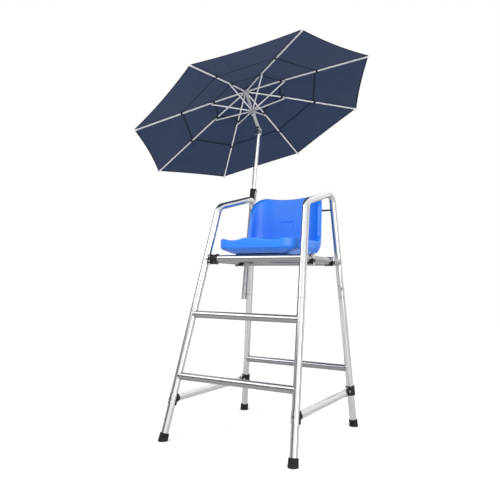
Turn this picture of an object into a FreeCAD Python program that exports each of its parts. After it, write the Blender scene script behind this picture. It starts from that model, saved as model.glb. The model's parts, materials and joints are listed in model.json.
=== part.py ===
import FreeCAD, Part
import math
import os
import Sketcher
from FreeCAD import Placement, Rotation, Vector

# Lifeguard chair: a ladder-legged stainless frame with a moulded seat and a clamped tilting umbrella.
# Millimetres and degrees. The origin is on the floor, midway between the four feet.
# The front of the chair faces -Y, and +X is the sitter's left, on the right as seen from the front.

SIZES = [
    # side frames
    ("tube_outside", 38.0, "outside diameter of every frame tube"),
    ("tube_wall", 1.6, "wall of the frame tube"),
    ("side_lean", 4.42, "each side frame leans in at the top by this angle"),
    ("foot_half_width", 355.0, "centre plane to a foot, on the floor"),
    ("foot_half_depth", 401.0, "cross plane to a foot, on the floor"),
    ("arm_front_y", -81.0, "where the front leg line meets the arm line"),
    ("arm_front_height", 1205.0, "height of that corner"),
    ("arm_rear_y", 297.0, "where the rear leg line meets the arm line"),
    ("arm_rear_height", 1309.0, "height of that corner"),
    ("arm_bend_radius", 56.0, "centre line radius of the two arm bends"),
    ("joint_height", 720.0, "seam between the lower legs and the side hoops"),
    ("spigot_length", 60.0, "necked end of a lower leg inside the hoop"),
    ("spigot_clearance", 0.15, "gap all round the necked end"),
    # feet
    ("leg_end_distance", 10.0, "floor to the cut end of a leg, along the leg"),
    ("cap_outside", 47.0, "outside diameter of a rubber foot cap"),
    ("cap_height", 38.0, "top of a foot cap, along the leg"),
    # cross tubes
    ("front_rung_low", 310.0, "height of the lower step rung"),
    ("front_rung_high", 621.0, "height of the upper step rung"),
    ("rear_rung_height", 321.0, "height of the rear rung"),
    ("seat_rail_height", 915.0, "height of the four seat rails"),
    ("back_rod_height", 1212.0, "height of the rod behind the backrest"),
    ("back_rod_diameter", 10.0, "diameter of that rod"),
    # rail socket at the front left corner
    ("socket_outside", 45.0, "outside diameter of the black rail socket"),
    ("socket_length", 50.0, "length of the rail socket"),
    ("socket_gap", 5.0, "leg tube to the rail socket"),
    # side stretchers
    ("stretcher_height", 198.0, "height of the two side stretchers"),
    ("saddle_height", 58.0, "height of the black saddle on a front leg"),
    ("saddle_wall", 5.5, "wall of that saddle round the leg"),
    ("saddle_cone_length", 16.0, "cone between the saddle and the stretcher"),
    ("saddle_plug_length", 26.0, "plug of the saddle inside the stretcher"),
    ("plate_wall", 2.5, "outer steel plate on the front of the leg"),
    ("ring_height", 50.0, "height of the black ring on a rear leg"),
    ("ring_wall", 6.5, "wall of that ring"),
    ("ear_reach", 24.0, "ears of the ring, forward of its wall"),
    ("ear_wall", 5.0, "thickness of one ear"),
    ("flat_thickness", 6.0, "flattened end of a stretcher"),
    ("flat_height", 50.0, "height of the flattened end"),
    ("flatten_length", 48.0, "run over which the stretcher is flattened"),
    ("stretcher_bolt", 8.0, "bolt through the ears"),
    # gear hook
    ("hook_rod", 8.0, "rod diameter of the hook on the right rear leg"),
    ("hook_below_rail", 30.0, "seat rail down to the top of the hook's shank"),
    ("hook_shank", 84.0, "height of the straight shank"),
    ("hook_bend_radius", 26.0, "radius of the hook's bend"),
    ("hook_tip_run", 24.0, "straight run of the hook's tip"),
    ("hook_side_turn", 40.0, "where the shank lies on the leg, from straight out to forward"),
    # seat
    ("bar_front_y", -85.0, "front seat bar"),
    ("bar_rear_y", 190.0, "rear seat bar"),
    ("bar_width", 25.0, "width of a seat bar"),
    ("bar_thickness", 4.0, "thickness of a seat bar"),
    ("bar_bolt", 6.0, "bolts through bar and saddle"),
    ("rail_saddle_side", 6.5, "saddle wall beside the rail"),
    ("base_half_width", 152.0, "black seat base, half width"),
    ("base_front_y", -118.0, "black seat base, front edge"),
    ("base_rear_y", 203.0, "black seat base, rear edge"),
    ("base_thickness", 6.0, "black seat base, thickness"),
    ("seat_half_width", 238.0, "half width of the moulded seat"),
    ("seat_front_y", -186.0, "front lip of the seat"),
    ("seat_rear_y", 292.0, "rear of the seat at the pan"),
    ("seat_front_corner", 130.0, "plan radius of the front corners"),
    ("seat_rear_corner", 138.0, "plan radius of the rear corners"),
    ("seat_tub_depth", 30.0, "underside up to the crease where the lip wall starts"),
    ("seat_flat_half_width", 158.0, "half width of the flat underside"),
    ("seat_flat_front_y", -130.0, "front edge of the flat underside"),
    ("seat_flat_rear_y", 207.0, "rear edge of the flat underside"),
    ("seat_flat_front_corner", 45.0, "plan radius of the underside's front corners"),
    ("seat_flat_rear_corner", 60.0, "plan radius of the underside's rear corners"),
    ("seat_lip_height", 1021.0, "top of the front lip"),
    ("seat_back_top", 1299.0, "top corners of the backrest"),
    ("seat_back_dip", 14.0, "middle of the backrest's top, below its corners"),
    ("seat_back_dip_radius", 800.0, "radius of that dip"),
    ("seat_pan_thickness", 34.0, "hollow moulded floor of the seat"),
    ("seat_wall", 24.0, "hollow moulded wall of the seat"),
    ("seat_lap", 55.0, "how far the pan stops short of the wall lower down"),
    ("wing_front_y", 190.0, "front edge of the side wings, low down"),
    ("wing_lean", 16.0, "how far the wing edge leans back at its top"),
    ("wing_low_radius", 62.0, "sweep from the lip into the wing"),
    ("wing_top_drop", 104.0, "height of the rounded top of the wing"),
    ("thigh_hollow_depth", 11.0, "depth of the two hollows in the lip"),
    ("thigh_hollow_offset", 112.0, "hollow to the centre plane"),
    ("thigh_hollow_radius", 208.0, "radius of the hollows"),
    ("recess_width", 86.0, "plain moulded recess in the backrest"),
    ("recess_height", 42.0, "height of the recess"),
    ("recess_middle", 1132.0, "middle height of the recess"),
    ("recess_depth", 3.0, "depth of the recess"),
    ("seat_gap", 0.3, "seat to the rod behind it"),
    # umbrella holder
    ("holder_offset", 40.0, "side frame plane to the umbrella pole"),
    ("holder_y", 350.0, "pole to the cross plane"),
    ("holder_outside", 34.0, "outside diameter of the holder tube"),
    ("holder_wall", 3.5, "wall of the holder tube"),
    ("holder_low", 690.0, "lower end of the holder tube"),
    ("holder_high", 1300.0, "upper end of the holder tube"),
    ("holder_floor", 6.0, "plug that closes the holder tube"),
    ("bracket_low", 953.0, "middle of the lower holder bracket"),
    ("bracket_high", 1060.0, "middle of the upper holder bracket"),
    ("bracket_height", 20.0, "height of a holder bracket"),
    ("bracket_wall", 6.5, "bracket wall round both tubes"),
    ("collar_outside", 42.0, "outside diameter of the black collar"),
    ("collar_top", 1378.0, "top of the collar"),
    ("collar_lap", 24.0, "how far the collar goes over the holder tube"),
    ("bushing_outside", 30.0, "outside diameter of the bushing in the collar"),
    ("bushing_length", 56.0, "length of the bushing below its flange"),
    ("bushing_flange", 3.0, "thickness of the bushing's flange"),
    ("running_gap", 0.08, "radial gap of every turning or sliding fit"),
    ("rest_gap", 0.3, "gap between faces that only rest together"),
    ("lever_turn", -34.0, "side of the collar that carries the lever"),
    ("lever_length", 60.0, "length of the clamp lever"),
    ("lever_thickness", 6.0, "thickness of the clamp lever"),
    ("lever_pin", 5.0, "pin of the clamp lever"),
    # pole and tilt joint
    ("pole_outside", 25.0, "outside diameter of the lower pole"),
    ("pole_wall", 1.5, "wall of the lower pole"),
    ("knuckle_height", 1762.0, "height of the tilt pin"),
    ("tilt_angle", 26.65, "tilt of the mast in the photographed pose"),
    ("tilt_swivel", -3.9, "turn of the tilt joint about the pole"),
    ("fork_wall", 3.0, "cheek of the tilt fork"),
    ("fork_width", 26.0, "width of a cheek"),
    ("fork_depth", 30.0, "tilt pin down to the floor of the fork"),
    ("fork_floor", 8.0, "floor of the fork"),
    ("fork_side_gap", 0.8, "mast to a cheek"),
    ("tilt_pin", 8.0, "tilt pin diameter"),
    ("mast_outside", 20.0, "outside diameter of the mast"),
    ("mast_wall", 1.5, "wall of the mast"),
    ("mast_tail", 13.0, "mast below the tilt pin"),
    # umbrella
    ("rib_count", 8, "ribs"),
    ("rib_phase", 8.44, "first rib, from the tilt direction"),
    ("crown_height", 275.6, "tilt pin to the plane of the rib pivots"),
    ("hub_outside", 46.0, "outside diameter of crown hub and runner"),
    ("hub_half_height", 9.0, "half height of crown hub and runner hub"),
    ("hub_ring_radius", 17.5, "rib pivots to the mast axis"),
    ("hub_wire", 2.5, "wire that the ribs and struts hang on"),
    ("slot_side_gap", 0.4, "tongue to slot wall"),
    ("tongue_thickness", 3.0, "tongues of ribs and struts"),
    ("tongue_eye", 9.0, "outside diameter of a tongue's eye"),
    ("rib_joint_radius", 257.8, "strut joints to the mast axis"),
    ("rib_joint_drop", 59.7, "crown pivots down to the rib at the strut joint"),
    ("rim_radius", 775.0, "mast axis to the rim"),
    ("rim_drop", 201.6, "crown pivots down to the rim"),
    ("rib_rod", 10.0, "rib diameter"),
    ("strut_rod", 8.0, "strut diameter"),
    ("joint_drop", 11.0, "rib down to its strut joint"),
    ("joint_pin", 3.0, "pin of a strut joint"),
    ("joint_slack", 1.2, "radial slack of the open strut joint"),
    ("runner_drop", 137.7, "crown pivots down to the strut pivots"),
    ("runner_sleeve", 24.0, "runner sleeve below its hub"),
    ("runner_outside", 27.0, "outside diameter of the runner sleeve"),
    ("finial_outside", 36.0, "outside diameter of the cap on the crown"),
    # canopy
    ("cloth_thickness", 1.5, "thickness of a canopy tier"),
    ("cloth_gap", 0.4, "rib to the cloth over it"),
    ("hem_bow", 0.016, "how far the hem bows in between two ribs, as a share"),
    ("top_tier_hem", 246.0, "hem of the top tier"),
    ("middle_tier_start", 226.0, "inner edge of the middle tier"),
    ("middle_tier_hem", 438.0, "hem of the middle tier"),
    ("outer_tier_start", 418.0, "inner edge of the outer tier"),
    ("tier_lift", 3.4, "how far a tier's hem stands over the tier below"),
]

doc = FreeCAD.newDocument("LifeguardChair")
sheet = doc.addObject("Spreadsheet::Sheet", "Sizes")
for row, (alias, number, note) in enumerate(SIZES, start=1):
    sheet.set(f"A{row}", alias)
    sheet.set(f"B{row}", str(number))
    sheet.set(f"C{row}", note)
    sheet.setAlias(f"B{row}", alias)
doc.recompute()
VALUES = {alias: float(number) for alias, number, note in SIZES}
X_AXIS = Vector(1, 0, 0)
Y_AXIS = Vector(0, 1, 0)
Z_AXIS = Vector(0, 0, 1)
pieces = []


def size(alias):
    return VALUES[alias]


def bind(item, prop, formula):
    """Tie one property to the sheet. Names in the formula are the sheet's aliases."""
    words = formula.replace("(", "( ").replace(")", " )").split(" ")
    item.setExpression(prop, " ".join("Sizes." + w if w in VALUES else w for w in words))


def turn(axis, degrees):
    return Placement(Vector(), Rotation(axis, degrees))


def shift(x=0.0, y=0.0, z=0.0):
    return Placement(Vector(x, y, z), Rotation())


# Bodies, sketches and features

def new_body(label, place=None):
    body = doc.addObject("PartDesign::Body", label)
    body.Label = label
    if place is not None:
        body.Placement = place
    return body


def new_sketch(body, role, offset=None):
    sketch = body.newObject("Sketcher::SketchObject", "Sketch")
    support = [f for f in body.Origin.OriginFeatures if f.Role == role][0]
    sketch.AttachmentSupport = [(support, "")]
    sketch.MapMode = "FlatFace"
    if offset is not None:
        sketch.AttachmentOffset = offset
    return sketch


def draw_circle(sketch, x, y, formula):
    index = sketch.addGeometry(Part.Circle(Vector(x, y, 0), Z_AXIS, 1.0), False)
    rule = sketch.addConstraint(Sketcher.Constraint("Radius", index, 1.0))
    bind(sketch, f"Constraints[{rule}]", formula)


def draw_outline(sketch, points):
    """Closed outline of straight lines."""
    for start, end in zip(points, points[1:] + points[:1]):
        sketch.addGeometry(Part.LineSegment(Vector(*start, 0), Vector(*end, 0)), False)


def draw_box(sketch, x_low, y_low, x_high, y_high):
    draw_outline(sketch, [(x_low, y_low), (x_high, y_low), (x_high, y_high), (x_low, y_high)])


def rounded_path(points, radius):
    """Lines and tangent arcs through the points, every inner corner rounded."""
    corners = [Vector(*p, 0) for p in points]
    edges = []
    last = corners[0]
    for before, corner, after in zip(corners, corners[1:], corners[2:]):
        towards = (before - corner).normalize()
        away = (after - corner).normalize()
        half = towards.getAngle(away) / 2
        reach = radius / math.tan(half)
        first = corner + towards * reach
        second = corner + away * reach
        middle_line = (towards + away).normalize()
        middle = corner + middle_line * (radius / math.sin(half) - radius)
        edges.append(Part.LineSegment(last, first))
        edges.append(Part.Arc(first, middle, second))
        last = second
    edges.append(Part.LineSegment(last, corners[-1]))
    return edges


def feature(body, kind, sketch, **settings):
    item = body.newObject("PartDesign::" + kind, kind)
    item.Profile = sketch
    for prop, setting in settings.items():
        setattr(item, prop, setting)
    sketch.Visibility = False
    return item


def pad(body, sketch, formula, **settings):
    item = feature(body, "Pad", sketch, Length=1.0, **settings)
    bind(item, "Length", formula)
    return item


def revolve(body, sketch, kind="Revolution"):
    item = feature(body, kind, sketch, ReferenceAxis=(sketch, ["V_Axis"]), Angle=360.0)
    return item


def turned(label, outline, place=None):
    """Body turned about its Z axis from an outline of (radius, height) points."""
    body = new_body(label, place)
    sketch = new_sketch(body, "XZ_Plane")
    draw_outline(sketch, outline)
    revolve(body, sketch)
    return body


def solid_cylinder(body, kind, radius, height, place):
    item = body.newObject(f"PartDesign::{kind}Cylinder", "Cylinder")
    item.Radius = radius
    item.Height = height
    item.Placement = place
    return item


def solid_box(body, kind, low, high):
    item = body.newObject(f"PartDesign::{kind}Box", "Box")
    item.Length = high[0] - low[0]
    item.Width = high[1] - low[1]
    item.Height = high[2] - low[2]
    item.Placement = shift(*low)
    return item


# Whole solids, cuts and joins

def tube(label, length, place):
    """Straight length of frame tube along the local Z axis."""
    body = new_body(label, place)
    sketch = new_sketch(body, "XY_Plane")
    draw_circle(sketch, 0, 0, "tube_outside / 2")
    draw_circle(sketch, 0, 0, "tube_outside / 2 - tube_wall")
    feature(body, "Pad", sketch, Length=length)
    return body


def rod(label, formula, length, place):
    item = doc.addObject("Part::Cylinder", label)
    item.Label = label
    bind(item, "Radius", formula)
    item.Height = length
    item.Placement = place
    return item


def cut(label, base, tools):
    tool = tools[0]
    if len(tools) > 1:
        tool = doc.addObject("Part::MultiFuse", label + "_tools")
        tool.Shapes = tools
    item = doc.addObject("Part::Cut", label)
    item.Base = base
    item.Tool = tool
    item.Label = label
    return item


def join(label, parts):
    item = doc.addObject("Part::MultiFuse", label)
    item.Shapes = parts
    item.Label = label
    return item


def keep(item):
    pieces.append(item)
    return item


# Side frames: each leg is a straight line in a plane that leans in

TUBE_R = size("tube_outside") / 2
BORE_R = TUBE_R - size("tube_wall")
LEAN = math.radians(size("side_lean"))
SIDES = (("left", -1), ("right", 1))
ENDS = ("front", "rear")


def along_frame(height):
    """Distance up the leaning frame for a height above the floor."""
    return height / math.cos(LEAN)


FOOT_Y = {"front": -size("foot_half_depth"), "rear": size("foot_half_depth")}
TOP_Y = {"front": size("arm_front_y"), "rear": size("arm_rear_y")}
TOP_Z = {"front": size("arm_front_height"), "rear": size("arm_rear_height")}
LEG_TURN = {e: -math.degrees(math.atan2(TOP_Y[e] - FOOT_Y[e], along_frame(TOP_Z[e]))) for e in ENDS}


def leg_y(end, height):
    return FOOT_Y[end] + (TOP_Y[end] - FOOT_Y[end]) * height / TOP_Z[end]


def half_width(height):
    return size("foot_half_width") - height * math.tan(LEAN)


def side_plane(side):
    """The plane of one side frame: Y along the chair, Z up the leaning frame."""
    return shift(x=side * size("foot_half_width")) * turn(Y_AXIS, -side * size("side_lean"))


def on_leg(side, end, height):
    """Frame on a leg's axis at a height, with Z along the leg."""
    place = side_plane(side) * shift(y=leg_y(end, height), z=along_frame(height))
    return place * turn(X_AXIS, LEG_TURN[end])


def along_leg(end, height):
    """Distance along a leg from the floor to a height."""
    return along_frame(height) / math.cos(math.radians(LEG_TURN[end]))


cores = {}
for name, side in SIDES:
    for end in ENDS:
        label = f"core_{end}_{name}"
        length = along_leg(end, TOP_Z[end]) - size("arm_bend_radius")
        cores[end, side] = rod(label, "tube_outside / 2", length, on_leg(side, end, 0))

# Side hoops: upper front leg, arm and upper rear leg, bent from one tube

for name, side in SIDES:
    hoop = new_body(f"side_hoop_{name}", side_plane(side))
    seam = size("joint_height")
    route = [(leg_y("front", seam), along_frame(seam))]
    route.append((TOP_Y["front"], along_frame(TOP_Z["front"])))
    route.append((TOP_Y["rear"], along_frame(TOP_Z["rear"])))
    route.append((leg_y("rear", seam), along_frame(seam)))
    path = new_sketch(hoop, "YZ_Plane")
    for edge in rounded_path(route, size("arm_bend_radius")):
        path.addGeometry(edge, False)
    start = shift(y=route[0][0], z=route[0][1]) * turn(X_AXIS, LEG_TURN["front"])
    for kind, formula in (("Additive", "tube_outside / 2"), ("Subtractive", "tube_outside / 2 - tube_wall")):
        ring = new_sketch(hoop, "XY_Plane", start)
        draw_circle(ring, 0, 0, formula)
        pipe = feature(hoop, kind + "Pipe", ring)
        pipe.Spine = (path, [f"Edge{i + 1}" for i in range(path.GeometryCount)])
        hoop.Tip = pipe
    path.Visibility = False
    keep(hoop)

# Lower legs: tube with a necked end that plugs into the hoop above

NECK_R = BORE_R - size("spigot_clearance")
for name, side in SIDES:
    for end in ENDS:
        low = size("leg_end_distance")
        top = along_leg(end, size("joint_height"))
        neck = top + size("spigot_length")
        inner = NECK_R - size("tube_wall")
        outline = [(BORE_R, low), (TUBE_R, low), (TUBE_R, top), (NECK_R, top), (NECK_R, neck)]
        outline += [(inner, neck), (inner, top - 6), (BORE_R, top - 12)]
        leg = turned(f"{end}_leg_{name}", outline, on_leg(side, end, 0))
        if end == "front":
            # steel plate and bolt head that clamp the stretcher's saddle through the leg
            middle = along_leg(end, size("stretcher_height"))
            half = size("saddle_height") / 2 - 1
            plate = new_sketch(leg, "XY_Plane", shift(z=middle - half))
            outer = TUBE_R + size("plate_wall")
            a, b = math.radians(205), math.radians(335)
            ends = [(TUBE_R * math.cos(t), TUBE_R * math.sin(t)) for t in (a, b)]
            ends += [(outer * math.cos(t), outer * math.sin(t)) for t in (b, a)]
            low_point, outer_point = Vector(0, -TUBE_R, 0), Vector(0, -outer, 0)
            corner = [Vector(*p, 0) for p in ends]
            plate.addGeometry(Part.Arc(corner[0], low_point, corner[1]), False)
            plate.addGeometry(Part.LineSegment(corner[1], corner[2]), False)
            plate.addGeometry(Part.Arc(corner[2], outer_point, corner[3]), False)
            plate.addGeometry(Part.LineSegment(corner[3], corner[0]), False)
            feature(leg, "Pad", plate, Length=2 * half)
            head = shift(y=-outer + 0.5, z=middle) * turn(X_AXIS, 90)
            solid_cylinder(leg, "Additive", 7.0, 5.5, head)
        keep(leg)

# Foot caps: rubber boots, cut flat on the floor

CAP_R = size("cap_outside") / 2
for name, side in SIDES:
    for end in ENDS:
        low, top = size("leg_end_distance"), size("cap_height")
        outline = [(0, -CAP_R), (CAP_R + 1, -CAP_R), (CAP_R + 1, 6), (CAP_R, 12), (CAP_R, top - 3)]
        outline += [(CAP_R - 2, top), (TUBE_R, top), (TUBE_R, low), (0, low)]
        boot = turned(f"boot_{end}_{name}", outline, on_leg(side, end, 0))
        above_floor = doc.addObject("Part::Box", f"above_floor_{end}_{name}")
        above_floor.Length = above_floor.Width = above_floor.Height = 6 * CAP_R
        above_floor.Placement = shift(side * size("foot_half_width") - 3 * CAP_R, FOOT_Y[end] - 3 * CAP_R, 0)
        cap = doc.addObject("Part::Common", f"foot_cap_{end}_{name}")
        cap.Base = boot
        cap.Tool = above_floor
        cap.Label = f"foot_cap_{end}_{name}"
        keep(cap)

# Rungs and rails: tubes coped to the legs that they are welded to


def cross_tube(label, end, height, more=()):
    half = half_width(height)
    place = shift(-half, leg_y(end, height), height) * turn(Y_AXIS, 90)
    blank = tube(label + "_blank", 2 * half, place)
    return keep(cut(label, blank, [cores[end, -1], cores[end, 1], *more]))


cross_tube("step_rung_lower", "front", size("front_rung_low"))
cross_tube("step_rung_upper", "front", size("front_rung_high"))
cross_tube("rear_rung", "rear", size("rear_rung_height"))

RAIL_Z = size("seat_rail_height")
RAIL_HALF = half_width(RAIL_Z)
side_cores = []
for name, side in SIDES:
    run = leg_y("rear", RAIL_Z) - leg_y("front", RAIL_Z)
    place = side_plane(side) * shift(y=leg_y("front", RAIL_Z), z=along_frame(RAIL_Z)) * turn(X_AXIS, -90)
    side_cores.append(rod(f"core_rail_{name}", "tube_outside / 2", run, place))
    blank = tube(f"seat_rail_{name}_blank", run, place)
    keep(cut(f"seat_rail_{name}", blank, [cores["front", side], cores["rear", side]]))
cross_tube("seat_rail_front", "front", RAIL_Z, side_cores)
cross_tube("seat_rail_rear", "rear", RAIL_Z, side_cores)

ROD_HALF = half_width(size("back_rod_height"))
rod_place = shift(-ROD_HALF, leg_y("rear", size("back_rod_height")), size("back_rod_height"))
rod_blank = rod("back_rod_blank", "back_rod_diameter / 2", 2 * ROD_HALF, rod_place * turn(Y_AXIS, 90))
keep(cut("back_rod", rod_blank, [cores["rear", -1], cores["rear", 1]]))

# Rail socket: black sleeve with a bolt flange and a small latch, round the front rail's left end

SOCKET_R = size("socket_outside") / 2
socket_x = -RAIL_HALF + TUBE_R + size("socket_gap")
socket = new_body("rail_socket", shift(socket_x, leg_y("front", RAIL_Z), RAIL_Z) * turn(Y_AXIS, 90))
sleeve = new_sketch(socket, "XY_Plane")
draw_circle(sleeve, 0, 0, "socket_outside / 2")
pad(socket, sleeve, "socket_length")
solid_box(socket, "Additive", (-SOCKET_R, -SOCKET_R - 2, 0), (SOCKET_R, 0, 16))
solid_box(socket, "Additive", (-SOCKET_R - 3, -4, size("socket_length") - 12), (0, 4, size("socket_length") + 4))
bore = new_sketch(socket, "XY_Plane", shift(z=-1))
draw_circle(bore, 0, 0, "tube_outside / 2")
feature(socket, "Pocket", bore, Length=size("socket_length") + 12, Reversed=True)
keep(socket)

# Side stretchers: plugged on a saddle at the front leg, flattened and bolted at the rear leg

EAR_GAP = size("flat_thickness") / 2 + 0.4
EAR_X = EAR_GAP + size("ear_wall")
RING_R = TUBE_R + size("ring_wall")
STRETCHER_Z = size("stretcher_height")
SADDLE_R = TUBE_R + size("saddle_wall")
for name, side in SIDES:
    # front saddle, in the frame of the leg
    saddle_half = size("saddle_height") / 2
    back_turn = turn(X_AXIS, -LEG_TURN["front"] - 90)
    blank = new_body(f"saddle_blank_{name}", on_leg(side, "front", STRETCHER_Z))
    solid_cylinder(blank, "Additive", SADDLE_R, 2 * saddle_half, shift(z=-saddle_half))
    solid_box(blank, "Subtractive", (-SADDLE_R, -SADDLE_R, -saddle_half), (SADDLE_R, 3, saddle_half))
    cone = blank.newObject("PartDesign::AdditiveCone", "Cone")
    cone.Radius1 = TUBE_R + 3
    cone.Radius2 = TUBE_R
    cone.Height = size("saddle_cone_length")
    cone.Placement = back_turn * shift(z=TUBE_R + 1)
    plug_start = TUBE_R + 1 + size("saddle_cone_length")
    solid_cylinder(blank, "Additive", BORE_R, size("saddle_plug_length"), back_turn * shift(z=plug_start))
    keep(cut(f"stretcher_saddle_{name}", blank, [cores["front", side]]))

    # rear ring with two ears for the flattened end
    ring = new_body(f"ring_blank_{name}", on_leg(side, "rear", STRETCHER_Z))
    ring_half = size("ring_height") / 2
    solid_cylinder(ring, "Additive", RING_R, 2 * ring_half, shift(z=-ring_half))
    ear_y = -RING_R - size("ear_reach")
    solid_box(ring, "Additive", (-EAR_X, ear_y, -18), (EAR_X, 0, 18))
    solid_box(ring, "Subtractive", (-EAR_GAP, ear_y, -18), (EAR_GAP, -RING_R, 18))
    level = turn(X_AXIS, -LEG_TURN["rear"])
    hole = level * shift(-EAR_X, -RING_R - size("ear_reach") / 2, 0) * turn(Y_AXIS, 90)
    solid_cylinder(ring, "Subtractive", size("stretcher_bolt") / 2, 2 * EAR_X, hole)
    keep(cut(f"leg_ring_{name}", ring, [cores["rear", side]]))

    # stretcher: round tube, flattening run, flat end and its bolt
    run = leg_y("rear", STRETCHER_Z) - leg_y("front", STRETCHER_Z)
    frame = side_plane(side) * shift(y=leg_y("front", STRETCHER_Z), z=along_frame(STRETCHER_Z))
    frame = frame * turn(X_AXIS, -90)
    bolt_at = run - RING_R - size("ear_reach") / 2
    flat_at = bolt_at - size("flat_height") / 2 - 6
    round_end = flat_at - size("flatten_length")
    round_tube = tube(f"stretcher_tube_{name}", round_end - plug_start, frame * shift(z=plug_start))
    circle = doc.addObject("Part::Ellipse", f"stretcher_round_{name}")
    circle.MajorRadius = TUBE_R - 0.4
    circle.MinorRadius = TUBE_R - 0.5
    circle.Placement = frame * shift(z=round_end - 6) * turn(Z_AXIS, 90)
    flat = doc.addObject("Part::Ellipse", f"stretcher_flat_{name}")
    flat.MajorRadius = size("flat_height") / 2 + 0.6
    flat.MinorRadius = size("flat_thickness") / 2 + 0.6
    flat.Placement = frame * shift(z=flat_at) * turn(Z_AXIS, 90)
    run_out = doc.addObject("Part::Loft", f"stretcher_run_out_{name}")
    run_out.Sections = [circle, flat]
    run_out.Solid = True
    end_plate = new_body(f"stretcher_end_{name}", frame)
    outline = new_sketch(end_plate, "YZ_Plane", shift(z=-size("flat_thickness") / 2))
    half = size("flat_height") / 2
    tip = bolt_at + size("ear_reach") / 2 - 2
    tip_corner = 10.0
    draw_outline(outline, [(-half, flat_at - 4), (-half, tip - tip_corner), (-half + tip_corner, tip),
                           (half - tip_corner, tip), (half, tip - tip_corner), (half, flat_at - 4)])
    pad(end_plate, outline, "flat_thickness")
    through = shift(-EAR_X - 1.5, 0, bolt_at) * turn(Y_AXIS, 90)
    solid_cylinder(end_plate, "Additive", size("stretcher_bolt") / 2, 2 * EAR_X + 3, through)
    for head_x in (-EAR_X - 5, EAR_X):
        head = shift(head_x, 0, bolt_at) * turn(Y_AXIS, 90)
        solid_cylinder(end_plate, "Additive", size("stretcher_bolt") * 0.85, 5.0, head)
    keep(join(f"stretcher_{name}", [round_tube, run_out, end_plate]))

# Gear hook: bent rod on the outer front side of the right rear leg

hook_top = RAIL_Z - TUBE_R - size("hook_below_rail")
hook_low = hook_top - size("hook_shank")
hook_length = along_leg("rear", hook_top) - along_leg("rear", hook_low)
hook_reach = TUBE_R + size("hook_rod") / 2
side_turn = math.radians(size("hook_side_turn"))
hook_place = on_leg(1, "rear", hook_low)
hook_place = hook_place * shift(hook_reach * math.cos(side_turn), -hook_reach * math.sin(side_turn), 0)
hook = new_body("gear_hook", hook_place)
bend = size("hook_bend_radius")
path = new_sketch(hook, "YZ_Plane")
opening = math.radians(140)
middle = (-bend + bend * math.cos(opening / 2), -bend * math.sin(opening / 2))
ahead = Vector(-math.sin(opening), -math.cos(opening), 0)
far = Vector(-bend + bend * math.cos(opening), -bend * math.sin(opening), 0)
path.addGeometry(Part.LineSegment(Vector(0, hook_length, 0), Vector(0, 0, 0)), False)
path.addGeometry(Part.Arc(Vector(0, 0, 0), Vector(*middle, 0), far), False)
path.addGeometry(Part.LineSegment(far, far + ahead * size("hook_tip_run")), False)
ring = new_sketch(hook, "XY_Plane", shift(z=hook_length))
draw_circle(ring, 0, 0, "hook_rod / 2")
pipe = feature(hook, "AdditivePipe", ring)
pipe.Spine = (path, ["Edge1", "Edge2", "Edge3"])
hook.Tip = pipe
keep(hook)

# Seat bars, saddles and base: the seat is bolted to the side rails

BAR_Z = RAIL_Z + TUBE_R
BOLT_X = TUBE_R + size("rail_saddle_side") / 2 + 1
SADDLE_X = TUBE_R + size("rail_saddle_side") + 1
bars = new_body("seat_bars")
for bar_y in (size("bar_front_y"), size("bar_rear_y")):
    reach = RAIL_HALF + SADDLE_X + 2
    half = size("bar_width") / 2
    solid_box(bars, "Additive", (-reach, bar_y - half, BAR_Z), (reach, bar_y + half, BAR_Z + size("bar_thickness")))
    for side in (-1, 1):
        for offset in (-BOLT_X, BOLT_X):
            foot = RAIL_Z - TUBE_R - size("rail_saddle_side")
            place = shift(side * RAIL_HALF + offset, bar_y, foot - 4)
            solid_cylinder(bars, "Additive", size("bar_bolt") / 2, BAR_Z - foot + 5, place)
            solid_cylinder(bars, "Additive", size("bar_bolt") * 0.9, 4.0, place)
keep(bars)

saddles = []
for side in (-1, 1):
    for bar_y in (size("bar_front_y"), size("bar_rear_y")):
        block = new_body("rail_saddle_blank", shift(side * RAIL_HALF, bar_y, RAIL_Z))
        half = size("bar_width") / 2
        depth = TUBE_R + size("rail_saddle_side")
        section = new_sketch(block, "XZ_Plane", shift(z=-half))
        draw_outline(section, [(-SADDLE_X, 0), (-SADDLE_X, -depth + 8), (-SADDLE_X + 8, -depth),
                               (SADDLE_X - 8, -depth), (SADDLE_X, -depth + 8), (SADDLE_X, 0)])
        pad(block, section, "bar_width")
        for offset in (-BOLT_X, BOLT_X):
            place = shift(offset, 0, -depth - 1)
            solid_cylinder(block, "Subtractive", size("bar_bolt") / 2 + 0.3, depth + 2, place)
        saddles.append(cut("rail_saddle", block, [side_cores[0 if side < 0 else 1]]))
rail_saddles = doc.addObject("Part::Compound", "rail_saddles")
rail_saddles.Links = saddles
rail_saddles.Label = "rail_saddles"
keep(rail_saddles)


def rounded_outline(sketch, half, front, rear, front_corner, rear_corner):
    """Plan outline of the seat: a rectangle with round corners, eight edges in the same order."""
    points = []
    for cx, cy, radius, first in ((half - front_corner, front + front_corner, front_corner, -90),
                                  (half - rear_corner, rear - rear_corner, rear_corner, 0),
                                  (rear_corner - half, rear - rear_corner, rear_corner, 90),
                                  (front_corner - half, front + front_corner, front_corner, 180)):
        arc = []
        for step in (0, 45, 90):
            angle = math.radians(first + step)
            arc.append(Vector(cx + radius * math.cos(angle), cy + radius * math.sin(angle), 0))
        points.append(arc)
    for arc, following in zip(points, points[1:] + points[:1]):
        sketch.addGeometry(Part.Arc(*arc), False)
        sketch.addGeometry(Part.LineSegment(arc[2], following[0]), False)


BASE_Z = BAR_Z + size("bar_thickness")
base = new_body("seat_base", shift(z=BASE_Z))
outline = new_sketch(base, "XY_Plane")
rounded_outline(outline, size("base_half_width"), size("base_front_y"), size("base_rear_y"), 60, 60)
pad(base, outline, "base_thickness")
keep(base)

# Seat: one hollow moulding, a tub whose rear wall rises into the backrest and its wings

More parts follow.
